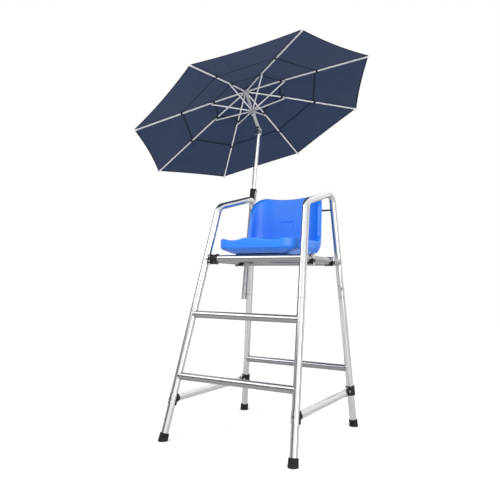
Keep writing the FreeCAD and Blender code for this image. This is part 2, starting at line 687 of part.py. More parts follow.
SEAT_Z = BASE_Z + size("base_thickness")
BACK_TOP = size("seat_back_top")
rod_face = leg_y("rear", size("back_rod_height")) - size("back_rod_diameter") / 2 - size("seat_gap")
widest = SEAT_Z + size("seat_tub_depth")
back_slope = (rod_face - size("seat_rear_y")) / (size("back_rod_height") - widest)
top_rear = size("seat_rear_y") + back_slope * (BACK_TOP - widest)
seat = new_body("seat_shell")


def tub_section(up, out):
    """Plan of the slanted foot of the tub, a share of the way up and a share of the way out to the full width."""

    def between(low, high):
        return low + (high - low) * out

    return (SEAT_Z + size("seat_tub_depth") * up,
            between(size("seat_flat_half_width"), size("seat_half_width")),
            between(size("seat_flat_front_y"), size("seat_front_y")),
            between(size("seat_flat_rear_y"), size("seat_rear_y")),
            between(size("seat_flat_front_corner"), size("seat_front_corner")),
            between(size("seat_flat_rear_corner"), size("seat_rear_corner")))


def loft(body, kind, sections):
    sketches = []
    for height, *plan in sections:
        sketch = new_sketch(body, "XY_Plane", shift(z=height))
        rounded_outline(sketch, *plan)
        sketches.append(sketch)
    item = feature(body, kind + "Loft", sketches[0])
    item.Sections = sketches[1:]
    item.Ruled = True
    for sketch in sketches:
        sketch.Visibility = False
    return item


full = tub_section(1.0, 1.0)
crown = (BACK_TOP, full[1], full[2], top_rear, full[4], full[5])
loft(seat, "Additive", [tub_section(0.0, 0.0), tub_section(0.8, 0.93), full, crown])

# the space for the sitter: floor, a rounded lap against the walls, then straight walls
wall, lap = size("seat_wall"), size("seat_lap")
floor_z = SEAT_Z + size("seat_pan_thickness")
inner_half = full[1] - wall
inner_front = full[2] + wall
inner_rear_top = top_rear - wall
hollow = []
for share in (0.0, 0.4, 0.75, 1.0):
    short = lap * (1 - math.sin(share * math.pi / 2))
    rise = lap * (1 - math.cos(share * math.pi / 2))
    hollow.append((floor_z + rise, inner_half - short * 0.6, inner_front + short * 0.6,
                   full[3] - wall - short, full[4] - wall - short * 0.3, full[5] - wall - short * 0.3))
above = BACK_TOP + 20
hollow.append((above, inner_half, inner_front, inner_rear_top, full[4] - wall, full[5] - wall))
loft(seat, "Subtractive", hollow)

# side view: low lip, wings that sweep up and round over into the back
lip, wing = size("seat_lip_height"), size("wing_front_y")
low_r, drop = size("wing_low_radius"), size("wing_top_drop")
wing_top = wing + size("wing_lean")
view = new_sketch(seat, "YZ_Plane")
front_clear, top_clear = full[2] - 60, BACK_TOP + 60
corner = Vector(wing - low_r, lip + low_r, 0)
rise_end = Vector(wing, lip + low_r, 0)
over_start = Vector(wing_top, BACK_TOP - drop, 0)
over_end = Vector(top_rear - wall, BACK_TOP, 0)
over_middle = Vector(wing_top + (over_end.x - wing_top) * 0.36, BACK_TOP - drop * 0.36, 0)
edges = [Part.LineSegment(Vector(front_clear, lip, 0), Vector(wing - low_r, lip, 0))]
bend_middle = corner + Vector(math.cos(math.radians(-45)), math.sin(math.radians(-45)), 0) * low_r
edges.append(Part.Arc(Vector(wing - low_r, lip, 0), bend_middle, rise_end))
edges.append(Part.LineSegment(rise_end, over_start))
edges.append(Part.Arc(over_start, over_middle, over_end))
edges.append(Part.LineSegment(over_end, Vector(over_end.x, top_clear, 0)))
edges.append(Part.LineSegment(Vector(over_end.x, top_clear, 0), Vector(front_clear, top_clear, 0)))
edges.append(Part.LineSegment(Vector(front_clear, top_clear, 0), Vector(front_clear, lip, 0)))
for edge in edges:
    view.addGeometry(edge, False)
feature(seat, "Pocket", view, Type="ThroughAll", Midplane=True)

# two thigh hollows in the front lip
for side in (-1, 1):
    centre_z = lip - size("thigh_hollow_depth") + size("thigh_hollow_radius")
    place = shift(side * size("thigh_hollow_offset"), full[2] - 20, centre_z) * turn(X_AXIS, -90)
    solid_cylinder(seat, "Subtractive", size("thigh_hollow_radius"), 20 + full[4] * 0.7, place)

# the top of the backrest dips a little between its corners
dip_centre = BACK_TOP - size("seat_back_dip") + size("seat_back_dip_radius")
place = shift(y=wing_top, z=dip_centre) * turn(X_AXIS, -90)
solid_cylinder(seat, "Subtractive", size("seat_back_dip_radius"), top_rear + 40 - wing_top, place)

# plain recess in the backrest, sunk square to its leaning inner face
lap_top = floor_z + lap
inner_rear_low = full[3] - wall
lean_back = math.atan2(inner_rear_top - inner_rear_low, above - lap_top)
face_y = inner_rear_low + math.tan(lean_back) * (size("recess_middle") - lap_top)
recess = seat.newObject("PartDesign::SubtractiveBox", "Recess")
bind(recess, "Length", "recess_width")
bind(recess, "Height", "recess_height")
recess.Width = size("recess_depth") + 40
face = shift(y=face_y, z=size("recess_middle")) * turn(X_AXIS, -math.degrees(lean_back))
recess.Placement = face * shift(-size("recess_width") / 2, -40, -size("recess_height") / 2)
keep(seat)

# Umbrella holder: a tube clamped outside the left side frame, with a black collar on top

HOLDER_R = size("holder_outside") / 2
HOLDER_BORE = HOLDER_R - size("holder_wall")
COLLAR_R = size("collar_outside") / 2
POLE_R = size("pole_outside") / 2
GAP = size("running_gap")
pole_line = shift(-size("foot_half_width") - size("holder_offset"), size("holder_y"), 0)
pole_line = pole_line * turn(Y_AXIS, size("side_lean"))


def on_pole(height):
    """Frame on the pole's axis at a height, with Z up the pole."""
    return pole_line * shift(z=along_frame(height))


holder_run = along_frame(size("holder_high") - size("holder_low"))
floor_top = size("holder_floor")
holder = turned("holder_tube", [(0, 0), (HOLDER_R, 0), (HOLDER_R, holder_run), (HOLDER_BORE, holder_run),
                                (HOLDER_BORE, floor_top), (0, floor_top)], on_pole(size("holder_low")))
keep(holder)
holder_core = rod("core_holder", "holder_outside / 2", holder_run, on_pole(size("holder_low")))

brackets = []
for height in (size("bracket_low"), size("bracket_high")):
    block = new_body("bracket_blank", on_pole(height))
    tall = size("bracket_height")
    to_leg = leg_y("rear", height) - size("holder_y")
    across = size("holder_offset") * math.cos(LEAN)
    reach = math.hypot(across, to_leg)
    facing = math.degrees(math.atan2(to_leg, across))
    solid_cylinder(block, "Additive", HOLDER_R + size("bracket_wall"), tall, shift(z=-tall / 2))
    leg_spot = shift(across, to_leg, -tall / 2)
    solid_cylinder(block, "Additive", TUBE_R + size("bracket_wall"), tall, leg_spot)
    web = block.newObject("PartDesign::AdditiveBox", "Web")
    web.Length, web.Width, web.Height = reach, 30.0, tall
    web.Placement = turn(Z_AXIS, facing) * shift(0, -15, -tall / 2)
    brackets.append(cut("holder_bracket", block, [cores["rear", -1], holder_core]))
holder_brackets = doc.addObject("Part::Compound", "holder_brackets")
holder_brackets.Links = brackets
holder_brackets.Label = "holder_brackets"
keep(holder_brackets)

# collar, in a frame at its top
LUG_X = COLLAR_R + 9.5
BUSH_R = size("bushing_outside") / 2
collar_run = along_frame(size("collar_top") - size("holder_high")) + size("collar_lap")
socket_depth = -collar_run + size("collar_lap")
collar_frame = on_pole(size("collar_top")) * turn(Z_AXIS, size("lever_turn"))
bush_low = -size("bushing_length")
collar = turned("holder_collar",
                [(BUSH_R + GAP, 0), (COLLAR_R - 1.5, 0), (COLLAR_R, -2), (COLLAR_R - 1, -collar_run + 6),
                 (COLLAR_R - 2.5, -collar_run), (HOLDER_R, -collar_run), (HOLDER_R, socket_depth),
                 (POLE_R + 4 * GAP, socket_depth), (POLE_R + 4 * GAP, bush_low - 1), (BUSH_R + GAP, bush_low - 1)],
                collar_frame)
lug_low, lug_high = -24.0, -4.0
pin_z = (lug_low + lug_high) / 2
lever_half = size("lever_thickness") / 2
solid_box(collar, "Additive", (COLLAR_R - 3, -lever_half - 4.5, lug_low), (LUG_X, lever_half + 4.5, lug_high))
lug_inside = COLLAR_R + 0.6
solid_box(collar, "Subtractive", (lug_inside, -lever_half - 0.4, lug_low), (LUG_X, lever_half + 0.4, lug_high))
pin_x = LUG_X - 4.0
pin_place = shift(pin_x, lever_half + 4.5, pin_z) * turn(X_AXIS, 90)
solid_cylinder(collar, "Additive", size("lever_pin") / 2, 2 * lever_half + 9, pin_place)
keep(collar)

# clamp lever: hangs on the collar's pin and lies along the collar when it is locked
lever = new_body("clamp_lever", collar_frame)
grip = new_sketch(lever, "XZ_Plane", shift(z=-lever_half))
grip_in = pin_x - 3.0
grip_out = pin_x + 3.5
draw_outline(grip, [(grip_in, pin_z), (grip_out, pin_z), (grip_out + 1.5, pin_z - size("lever_length") * 0.6),
                    (grip_out + 5, pin_z - size("lever_length")), (grip_out + 1, pin_z - size("lever_length")),
                    (grip_in, pin_z - size("lever_length") * 0.6)])
pad(lever, grip, "lever_thickness")
eye = shift(pin_x, lever_half, pin_z) * turn(X_AXIS, 90)
solid_cylinder(lever, "Additive", size("lever_pin") / 2 + 2.0, 2 * lever_half, eye)
wide_eye = shift(pin_x, lever_half + 1, pin_z) * turn(X_AXIS, 90)
solid_cylinder(lever, "Subtractive", size("lever_pin") / 2 + GAP, 2 * lever_half + 2, wide_eye)
keep(lever)

# bushing: turns in the collar and grips the pole
flange = size("bushing_flange")
bushing = turned("pole_bushing",
                 [(POLE_R + GAP, bush_low), (BUSH_R, bush_low), (BUSH_R, size("rest_gap")),
                  (COLLAR_R - 2, size("rest_gap")), (COLLAR_R - 3, flange), (POLE_R + GAP, flange)],
                 on_pole(size("collar_top")))
keep(bushing)

# Lower pole with its tilt fork

PIN_R = size("tilt_pin") / 2
MAST_R = size("mast_outside") / 2
knuckle = on_pole(size("knuckle_height")) * turn(Z_AXIS, size("tilt_swivel"))
pole_low = -(along_frame(size("knuckle_height") - size("holder_low")) - size("holder_floor") - size("rest_gap"))
fork_low = -size("fork_depth") - size("fork_floor")
cheek_in = MAST_R + size("fork_side_gap")
cheek_out = cheek_in + size("fork_wall")
pole = new_body("pole", knuckle)
ring = new_sketch(pole, "XY_Plane", shift(z=pole_low))
draw_circle(ring, 0, 0, "pole_outside / 2")
draw_circle(ring, 0, 0, "pole_outside / 2 - pole_wall")
feature(pole, "Pad", ring, Length=fork_low - pole_low + 2)
half = size("fork_width") / 2
cheek = new_sketch(pole, "XZ_Plane", shift(z=-cheek_out))
cheek.addGeometry(Part.LineSegment(Vector(half, 0, 0), Vector(half, fork_low, 0)), False)
cheek.addGeometry(Part.LineSegment(Vector(half, fork_low, 0), Vector(-half, fork_low, 0)), False)
cheek.addGeometry(Part.LineSegment(Vector(-half, fork_low, 0), Vector(-half, 0, 0)), False)
cheek.addGeometry(Part.Arc(Vector(-half, 0, 0), Vector(0, half, 0), Vector(half, 0, 0)), False)
feature(pole, "Pad", cheek, Length=2 * cheek_out)
solid_box(pole, "Subtractive", (-half, -cheek_in, -size("fork_depth")), (half, cheek_in, half))
across_pin = shift(0, cheek_out, 0) * turn(X_AXIS, 90)
solid_cylinder(pole, "Subtractive", PIN_R, 2 * cheek_out, across_pin)
keep(pole)

pin_head = 3.0
pin = new_body("tilt_pin", knuckle)
solid_cylinder(pin, "Additive", PIN_R, 2 * cheek_out, across_pin)
for head_y in (cheek_out, -cheek_out - pin_head):
    head = shift(0, head_y + pin_head, 0) * turn(X_AXIS, 90)
    solid_cylinder(pin, "Additive", PIN_R * 1.7, pin_head, head)
keep(pin)

# Mast, crown hub, runner and cap, in the umbrella's own frame: Z up the mast, origin at the tilt pin

umbrella = knuckle * turn(Y_AXIS, -size("tilt_angle"))
CROWN_Z = size("crown_height")
RUNNER_Z = CROWN_Z - size("runner_drop")
HUB_R = size("hub_outside") / 2
HUB_H = size("hub_half_height")
RING_LINE = size("hub_ring_radius")
TONGUE = size("tongue_thickness") / 2
EYE_R = size("tongue_eye") / 2

mast = new_body("mast", umbrella)
ring = new_sketch(mast, "XY_Plane", shift(z=-size("mast_tail")))
draw_circle(ring, 0, 0, "mast_outside / 2")
draw_circle(ring, 0, 0, "mast_outside / 2 - mast_wall")
pad(mast, ring, "mast_tail + crown_height + hub_half_height")
mast_hole = shift(0, MAST_R, 0) * turn(X_AXIS, 90)
solid_cylinder(mast, "Subtractive", PIN_R + GAP, 2 * MAST_R, mast_hole)
keep(mast)


def slotted_hub(label, height, outline):
    """Hub with a slot for each tongue and the wire ring that the tongues turn on."""
    body = turned(label, outline, umbrella * shift(z=height) * turn(Z_AXIS, size("rib_phase")))
    slot_half = TONGUE + size("slot_side_gap")
    slot = new_sketch(body, "XY_Plane", shift(z=-HUB_H - 0.5))
    draw_box(slot, RING_LINE - EYE_R - 0.5, -slot_half, HUB_R + 5, slot_half)
    pocket = feature(body, "Pocket", slot, Length=2 * HUB_H + 1, Reversed=True)
    pattern = body.newObject("PartDesign::PolarPattern", "Slots")
    pattern.Originals = [pocket]
    pattern.Axis = (slot, ["N_Axis"])
    pattern.Angle = 360.0
    bind(pattern, "Occurrences", "rib_count")
    body.Tip = pattern
    wire = body.newObject("PartDesign::AdditiveTorus", "Wire")
    bind(wire, "Radius1", "hub_ring_radius")
    bind(wire, "Radius2", "hub_wire / 2")
    return keep(body)


slotted_hub("crown_hub", CROWN_Z,
            [(MAST_R, -HUB_H), (HUB_R - 3, -HUB_H), (HUB_R, -HUB_H + 3), (HUB_R, HUB_H - 2),
             (HUB_R - 2, HUB_H), (MAST_R, HUB_H)])
SLIDE_R = MAST_R + GAP
SLEEVE_R = size("runner_outside") / 2
sleeve_low = -HUB_H - size("runner_sleeve")
slotted_hub("runner", RUNNER_Z,
            [(SLIDE_R, sleeve_low), (SLEEVE_R + 2, sleeve_low), (SLEEVE_R + 2, sleeve_low + 3),
             (SLEEVE_R, sleeve_low + 5), (SLEEVE_R - 1.6, -HUB_H), (HUB_R - 2, -HUB_H), (HUB_R, -HUB_H + 2),
             (HUB_R, HUB_H - 3), (HUB_R - 3, HUB_H), (SLIDE_R, HUB_H)])

cloth, lift = size("cloth_thickness"), size("tier_lift")
cloth_z = HUB_H + size("rest_gap")
cap_r, cap_low = size("finial_outside") / 2, cloth_z + cloth + size("rest_gap")
stem = 7.0
keep(turned("crown_cap",
            [(0, -HUB_H), (stem, -HUB_H), (stem, cap_low), (cap_r, cap_low), (cap_r, cap_low + 3),
             (cap_r * 0.8, cap_low + 9), (cap_r * 0.42, cap_low + 13), (cap_r * 0.36, cap_low + 26),
             (cap_r * 0.2, cap_low + 31), (0, cap_low + 32)],
            umbrella * shift(z=CROWN_Z)))

# Ribs and struts, each in the frame of its own pivot: X outwards, Y along the hub's wire

rib_out, rib_drop = size("rib_joint_radius") - RING_LINE, size("rib_joint_drop")
rim_out, rim_drop = size("rim_radius") - RING_LINE, size("rim_drop")
inner_slope = math.atan2(rib_drop, rib_out)
joint_x = rib_out - size("joint_drop") * math.sin(inner_slope)
joint_z = -rib_drop - size("joint_drop") * math.cos(inner_slope)
strut_start_z = -size("runner_drop")
strut_length = math.hypot(joint_x, joint_z - strut_start_z)
strut_rise = math.degrees(math.atan2(joint_z - strut_start_z, joint_x))
rod_start = HUB_R - RING_LINE + 3.0
EAR_IN = TONGUE + 0.5
EAR_OUT = EAR_IN + 2.0
WIRE_HOLE = size("hub_wire") / 2 + 2 * GAP
across_y = turn(X_AXIS, 90)


def pivot(height, number):
    """Frame of one pivot on a hub's wire."""
    angle = size("rib_phase") + 360.0 / size("rib_count") * number
    return umbrella * shift(z=height) * turn(Z_AXIS, angle) * shift(x=RING_LINE)


for number in range(int(size("rib_count"))):
    rib = new_body(f"rib_{number + 1}", pivot(CROWN_Z, number))
    path = new_sketch(rib, "XZ_Plane")
    first = (rod_start, -rod_start * math.tan(inner_slope))
    corner = (rib_out, -rib_drop)
    for edge in rounded_path([first, corner, (rim_out, -rim_drop)], 600.0):
        path.addGeometry(edge, False)
    place = shift(first[0], 0, first[1]) * turn(Y_AXIS, 90 + math.degrees(inner_slope))
    section = new_sketch(rib, "XY_Plane", place)
    draw_circle(section, 0, 0, "rib_rod / 2")
    pipe = feature(rib, "AdditivePipe", section)
    pipe.Spine = (path, ["Edge1", "Edge2", "Edge3"])
    path.Visibility = False
    # tongue in the crown hub, and the lug that the strut's fork straddles
    tongue = new_sketch(rib, "XZ_Plane", shift(z=-TONGUE))
    drop = math.tan(inner_slope)
    near, wide = rod_start + 8, size("rib_rod") / 2
    draw_outline(tongue, [(0, -EYE_R + 1), (near, -near * drop - wide), (near, -near * drop + wide), (0, EYE_R - 1)])
    pad(rib, tongue, "tongue_thickness")
    solid_cylinder(rib, "Additive", EYE_R, 2 * TONGUE, shift(y=TONGUE) * across_y)
    lug = new_sketch(rib, "XZ_Plane", shift(z=-TONGUE))
    lug_r = size("joint_pin") / 2 + size("joint_slack") + 2.2
    draw_outline(lug, [(joint_x - lug_r, joint_z), (joint_x + lug_r, joint_z),
                       (joint_x + lug_r + 9, -rib_drop - 2), (joint_x - lug_r - 5, -rib_drop + 2)])
    pad(rib, lug, "tongue_thickness")
    solid_cylinder(rib, "Additive", lug_r, 2 * TONGUE, shift(joint_x, TONGUE, joint_z) * across_y)
    slack = size("joint_pin") / 2 + size("joint_slack")
    solid_cylinder(rib, "Subtractive", slack, 2 * TONGUE + 2, shift(joint_x, TONGUE + 1, joint_z) * across_y)
    solid_cylinder(rib, "Subtractive", WIRE_HOLE, 2 * TONGUE + 2, shift(y=TONGUE + 1) * across_y)
    keep(rib)

for number in range(int(size("rib_count"))):
    strut = new_body(f"strut_{number + 1}", pivot(RUNNER_Z, number) * turn(Y_AXIS, -strut_rise))
    fork_start = strut_length - 13
    solid_cylinder(strut, "Additive", size("strut_rod") / 2, fork_start - rod_start + 3,
                   shift(x=rod_start) * turn(Y_AXIS, 90))
    solid_box(strut, "Additive", (0, -TONGUE, -EYE_R + 1), (rod_start + 6, TONGUE, EYE_R - 1))
    solid_cylinder(strut, "Additive", EYE_R, 2 * TONGUE, shift(y=TONGUE) * across_y)
    ear_r = size("joint_pin") / 2 + 2.4
    solid_box(strut, "Additive", (fork_start, -EAR_OUT, -ear_r), (strut_length, EAR_OUT, ear_r))
    solid_cylinder(strut, "Additive", ear_r, 2 * EAR_OUT, shift(strut_length, EAR_OUT, 0) * across_y)
    solid_box(strut, "Subtractive", (strut_length - 9, -EAR_IN, -12), (strut_length + 9, EAR_IN, 12))
    solid_cylinder(strut, "Additive", size("joint_pin") / 2, 2 * EAR_OUT,
                   shift(strut_length, EAR_OUT, 0) * across_y)
    solid_cylinder(strut, "Subtractive", WIRE_HOLE, 2 * TONGUE + 2, shift(y=TONGUE + 1) * across_y)
    keep(strut)

# Canopy: three tiers of cloth that rest on the ribs, with a vent between each pair

rib_r = size("rib_rod") / 2


def rib_top(radius):
    """Height of the cloth's underside over a rib, from the crown pivots."""
    if radius <= size("rib_joint_radius"):
        line = -(radius - RING_LINE) * rib_drop / rib_out
    else:
        share = (radius - size("rib_joint_radius")) / (size("rim_radius") - size("rib_joint_radius"))
        line = -rib_drop - share * (rim_drop - rib_drop)
    return line + rib_r / math.cos(inner_slope) + size("cloth_gap")


def tier(label, line):
    """One tier from its section over a rib: (radius, lift over the rib) from the inside out."""
    body = new_body(label, umbrella * shift(z=CROWN_Z) * turn(Z_AXIS, size("rib_phase")))
    gore = 360.0 / size("rib_count")
    steps = 4
    sketches = []
    for step in range(steps + 1):
        angle = gore * step / steps
        middle = math.radians(angle - gore / 2)
        share = math.cos(math.radians(gore / 2)) / math.cos(middle)
        bow = 1 - size("hem_bow") * (1 - (2 * step / steps - 1) ** 2)
        under, over = [], []
        for index, (radius, height) in enumerate(line):
            reach = radius * share
            if index == len(line) - 1:
                reach = reach * bow
            under.append((reach, height))
            over.append((reach, height + cloth))
        sketch = new_sketch(body, "XZ_Plane", turn(Y_AXIS, angle))
        draw_outline(sketch, under + over[::-1])
        sketches.append(sketch)
    one = feature(body, "AdditiveLoft", sketches[0])
    one.Sections = sketches[1:]
    one.Ruled = True
    for sketch in sketches:
        sketch.Visibility = False
    pattern = body.newObject("PartDesign::PolarPattern", "Gores")
    pattern.Originals = [one]
    pattern.Axis = ([f for f in body.Origin.OriginFeatures if f.Role == "Z_Axis"][0], [""])
    pattern.Angle = 360.0
    bind(pattern, "Occurrences", "rib_count")
    body.Tip = pattern
    return keep(body)


flat_r = HUB_R + 3
settle_r = 3.6 * HUB_R
hem = size("top_tier_hem")
tier("canopy_top", [(stem + 1.5, cloth_z), (flat_r, cloth_z), (settle_r, rib_top(settle_r)),
                    (hem - 55, rib_top(hem - 55)), (hem - 22, rib_top(hem - 22) + lift), (hem, rib_top(hem) + lift)])
start, hem = size("middle_tier_start"), size("middle_tier_hem")
bend_r = size("rib_joint_radius")
tier("canopy_middle", [(start, rib_top(start)), (bend_r, rib_top(bend_r)), (hem - 55, rib_top(hem - 55)),
                       (hem - 22, rib_top(hem - 22) + lift), (hem, rib_top(hem) + lift)])
start, hem = size("outer_tier_start"), size("rim_radius")
tier("canopy_outer", [(start, rib_top(start)), ((start + hem) / 2, rib_top((start + hem) / 2)), (hem, rib_top(hem))])

doc.recompute()

# Check every object, then write one file for each piece

for item in doc.Objects:
    if "Invalid" in item.State or "Error" in item.State:
        raise RuntimeError(f"{item.Label} is {item.State}")
os.makedirs("parts", exist_ok=True)
for item in pieces:
    shape = item.Shape
    if shape.isNull() or not shape.isValid() or shape.Volume <= 0:
        raise RuntimeError(f"{item.Label} has no valid shape")
    shape.exportStep(f"parts/{item.Label}.step")
    print(f"{item.Label}: {len(shape.Solids)} solid(s), {shape.Volume / 1000:.2f} cm3")
print(len(pieces), "pieces")
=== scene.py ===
import json
import math

import bmesh
import bpy
import numpy
from mathutils import Matrix, Vector


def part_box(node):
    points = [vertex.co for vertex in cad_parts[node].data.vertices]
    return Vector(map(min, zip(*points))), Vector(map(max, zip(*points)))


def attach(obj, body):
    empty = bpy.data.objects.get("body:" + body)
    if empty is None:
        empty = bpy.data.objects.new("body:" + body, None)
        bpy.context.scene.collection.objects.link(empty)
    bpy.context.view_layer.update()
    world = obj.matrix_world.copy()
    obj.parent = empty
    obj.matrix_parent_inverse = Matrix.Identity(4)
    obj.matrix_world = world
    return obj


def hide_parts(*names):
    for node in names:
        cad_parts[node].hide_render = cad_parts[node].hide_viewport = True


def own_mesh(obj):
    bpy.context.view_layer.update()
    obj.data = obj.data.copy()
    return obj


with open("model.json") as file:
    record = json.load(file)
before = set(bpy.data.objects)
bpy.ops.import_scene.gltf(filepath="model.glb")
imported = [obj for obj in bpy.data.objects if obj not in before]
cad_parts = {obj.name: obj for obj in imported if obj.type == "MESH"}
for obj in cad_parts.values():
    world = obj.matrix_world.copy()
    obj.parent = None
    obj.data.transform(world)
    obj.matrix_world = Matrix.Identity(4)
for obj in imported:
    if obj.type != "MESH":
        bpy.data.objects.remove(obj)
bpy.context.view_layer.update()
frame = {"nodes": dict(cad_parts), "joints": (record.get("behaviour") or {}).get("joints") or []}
nodes = frame["nodes"]

# Side frames: 38 mm stainless steel tube, bent and polished by belt. Each side is a hoop over two lower legs,
# whose necked ends plug into the hoop, and a stretcher that ties the legs together near the floor.


def colour(code):
    """sRGB hex to the linear colour that a shader takes."""
    parts = [int(code[i:i + 2], 16) / 255 for i in (1, 3, 5)]
    return [p / 12.92 if p <= 0.04045 else ((p + 0.055) / 1.055) ** 2.4 for p in parts] + [1.0]


def node(tree, kind, settings=None, links=None):
    """Adds one shader node, sets its properties and sockets, and links its inputs."""
    made = tree.nodes.new("ShaderNode" + kind)
    for name, value in (settings or {}).items():
        if isinstance(name, str) and hasattr(made, name):
            setattr(made, name, value)
        else:
            made.inputs[name].default_value = value
    for name, output in (links or {}).items():
        tree.links.new(output, made.inputs[name])
    return made


def finish_of(name, sockets):
    """A new material with these values on its shader."""
    made = bpy.data.materials.new(name)
    made.use_nodes = True
    shader = made.node_tree.nodes["Principled BSDF"]
    for socket, value in sockets.items():
        shader.inputs[socket].default_value = value
    return made, made.node_tree, shader


def paint(material, *names):
    """Gives CAD nodes their finish, with soft shading on round faces and sharp edges kept."""
    for name in names:
        mesh = nodes[name].data
        mesh.materials.clear()
        mesh.materials.append(material)
        mesh.shade_smooth()
        mesh.set_sharp_from_angle(angle=math.radians(32))


# polished 304 stainless: a belt leaves hair-fine lines along the tube and faint cloudy patches
tube_steel, tree, shader = finish_of("stainless_tube_belt_polished", {"Metallic": 1.0})
place = node(tree, "TexCoord").outputs["Object"]
grit = node(tree, "Mapping", {"Scale": (1 / 0.0012, 1 / 0.0012, 1 / 0.09)}, {"Vector": place})
lines = node(tree, "TexNoise", {"Scale": 1.0, "Detail": 3.0}, {"Vector": grit.outputs[0]})
cloud = node(tree, "TexNoise", {"Scale": 1 / 0.045, "Detail": 2.0}, {"Vector": place})
rough = node(tree, "MapRange", {"From Min": 0.3, "From Max": 0.7, "To Min": 0.16, "To Max": 0.24},
             {"Value": cloud.outputs["Fac"]})
tree.links.new(rough.outputs[0], shader.inputs["Roughness"])
tone = node(tree, "Mix", {"data_type": "RGBA", 6: colour("#c2c3c5"), 7: colour("#d0d1d2")},
            {0: lines.outputs["Fac"]})
tree.links.new(tone.outputs[2], shader.inputs["Base Color"])
hair = node(tree, "Bump", {"Strength": 0.02, "Distance": 0.00003}, {"Height": lines.outputs["Fac"]})
tree.links.new(hair.outputs[0], shader.inputs["Normal"])
paint(tube_steel, "side_hoop_left", "side_hoop_right", "front_leg_left", "front_leg_right",
      "rear_leg_left", "rear_leg_right", "stretcher_left", "stretcher_right")

# Cross tubes: rungs and seat rails are the same stainless tube as the legs, a little rougher, and their darker
# grey is painted shade for the dimmer side of the room they face.
# The mill's rollers leave long lines along the tube.

rung_steel_painted_shade, tree, shader = finish_of("stainless_tube_painted_shade", {"Metallic": 1.0})
place = node(tree, "TexCoord").outputs["Object"]
rolled = node(tree, "Mapping", {"Scale": (1 / 0.003, 1 / 0.003, 1 / 0.12)}, {"Vector": place})
lines = node(tree, "TexNoise", {"Scale": 1.0, "Detail": 2.0}, {"Vector": rolled.outputs[0]})
cloud = node(tree, "TexNoise", {"Scale": 1 / 0.03, "Detail": 2.0}, {"Vector": place})
rough = node(tree, "MapRange", {"From Min": 0.3, "From Max": 0.7, "To Min": 0.2, "To Max": 0.28},
             {"Value": cloud.outputs["Fac"]})
tree.links.new(rough.outputs[0], shader.inputs["Roughness"])
# the darker grey of the rungs and rails is painted shade, not a different steel
tone = node(tree, "Mix", {"data_type": "RGBA", 6: colour("#8d8e91"), 7: colour("#9e9fa1")},
            {0: lines.outputs["Fac"]})
tree.links.new(tone.outputs[2], shader.inputs["Base Color"])
paint(rung_steel_painted_shade, "step_rung_lower", "step_rung_upper", "rear_rung",
      "seat_rail_front", "seat_rail_rear", "seat_rail_left", "seat_rail_right")


def piece(name, points, faces, material, body):
    """A new mesh object with soft shading, riding a body."""
    mesh = bpy.data.meshes.new(name)
    mesh.from_pydata([tuple(p) for p in points], [], faces)
    mesh.update()
    mesh.materials.append(material)
    mesh.shade_smooth()
    mesh.set_sharp_from_angle(angle=math.radians(35))
    made = bpy.data.objects.new(name, mesh)
    bpy.context.scene.collection.objects.link(made)
    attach(made, body)


# Weld beads: the rungs and rails are welded to the legs all round, in a run of small overlapping ripples.
# The beads stay darker and rougher than the tube.

SIDE_LEAN = math.radians(4.42)
TUBE = 0.019
FOOT_X, FOOT_Y = 0.355, 0.401
FRONT_RUNGS, REAR_RUNG, RAILS = (0.310, 0.621), 0.321, 0.915
LEG_TOPS = (("front", -FOOT_Y, -0.081, 1.205), ("rear", FOOT_Y, 0.297, 1.309))
leg_lines = {}
for side in (-1, 1):
    for end, foot_y, top_y, top_z in LEG_TOPS:
        foot = Vector((side * FOOT_X, foot_y, 0))
        top = Vector((side * (FOOT_X - top_z * math.tan(SIDE_LEAN)), top_y, top_z))
        leg_lines[end, side] = (foot, (top - foot).normalized())


def on_leg(end, side, height):
    """Point on a leg's axis at a height."""
    foot, along = leg_lines[end, side]
    return foot + along * (height / along.z)


def ring_points(centre, across, upward, radius, count):
    """Points evenly round a circle."""
    turns = [2 * math.pi * i / count for i in range(count)]
    return [centre + across * (radius * math.cos(t)) + upward * (radius * math.sin(t)) for t in turns]


def swept(route, radius_at, count=8, closed=False):
    """Points and faces of a round rod along a route; radius_at gives its radius at each point."""
    points, faces = [], []
    last = len(route)
    for i, here in enumerate(route):
        before = route[i - 1] if i or closed else here
        after = route[(i + 1) % last] if i < last - 1 or closed else here
        along = (after - before).normalized()
        across = along.orthogonal().normalized()
        if i:
            across = (carried - along * carried.dot(along)).normalized()
        carried = across
        points += ring_points(here, across, along.cross(across), radius_at(i), count)
    for i in range(last if closed else last - 1):
        a, b = i * count, ((i + 1) % last) * count
        faces += [(a + j, a + (j + 1) % count, b + (j + 1) % count, b + j) for j in range(count)]
    if not closed:
        faces += [tuple(range(count))[::-1], tuple((last - 1) * count + j for j in range(count))]
    return points, faces


def gather(parts):
    """Several point and face lists as one mesh."""
    points, faces = [], []
    for more_points, more_faces in parts:
        start = len(points)
        points += more_points
        faces += [tuple(start + i for i in face) for face in more_faces]
    return points, faces


BEAD, RIPPLE, BEAD_PROUD = 0.0015, 0.0003, 0.0003


def bead(middle, along, leg):
    """Bead where a tube that runs from `middle` along `along` ends on a leg."""
    foot, up = leg
    across = along.orthogonal().normalized()
    run = along - up * along.dot(up)
    route = []
    for start in ring_points(middle, across, along.cross(across), TUBE, 72):
        flat = start - foot
        flat -= up * flat.dot(up)
        a, b, c = run.dot(run), 2 * flat.dot(run), flat.dot(flat) - (TUBE + BEAD_PROUD) ** 2
        reach = (-b - math.sqrt(max(b * b - 4 * a * c, 0.0))) / (2 * a)
        route.append(start + along * reach)
    return swept(route, lambda i: BEAD + RIPPLE * math.sin(i * math.pi * 0.9), 6, True)


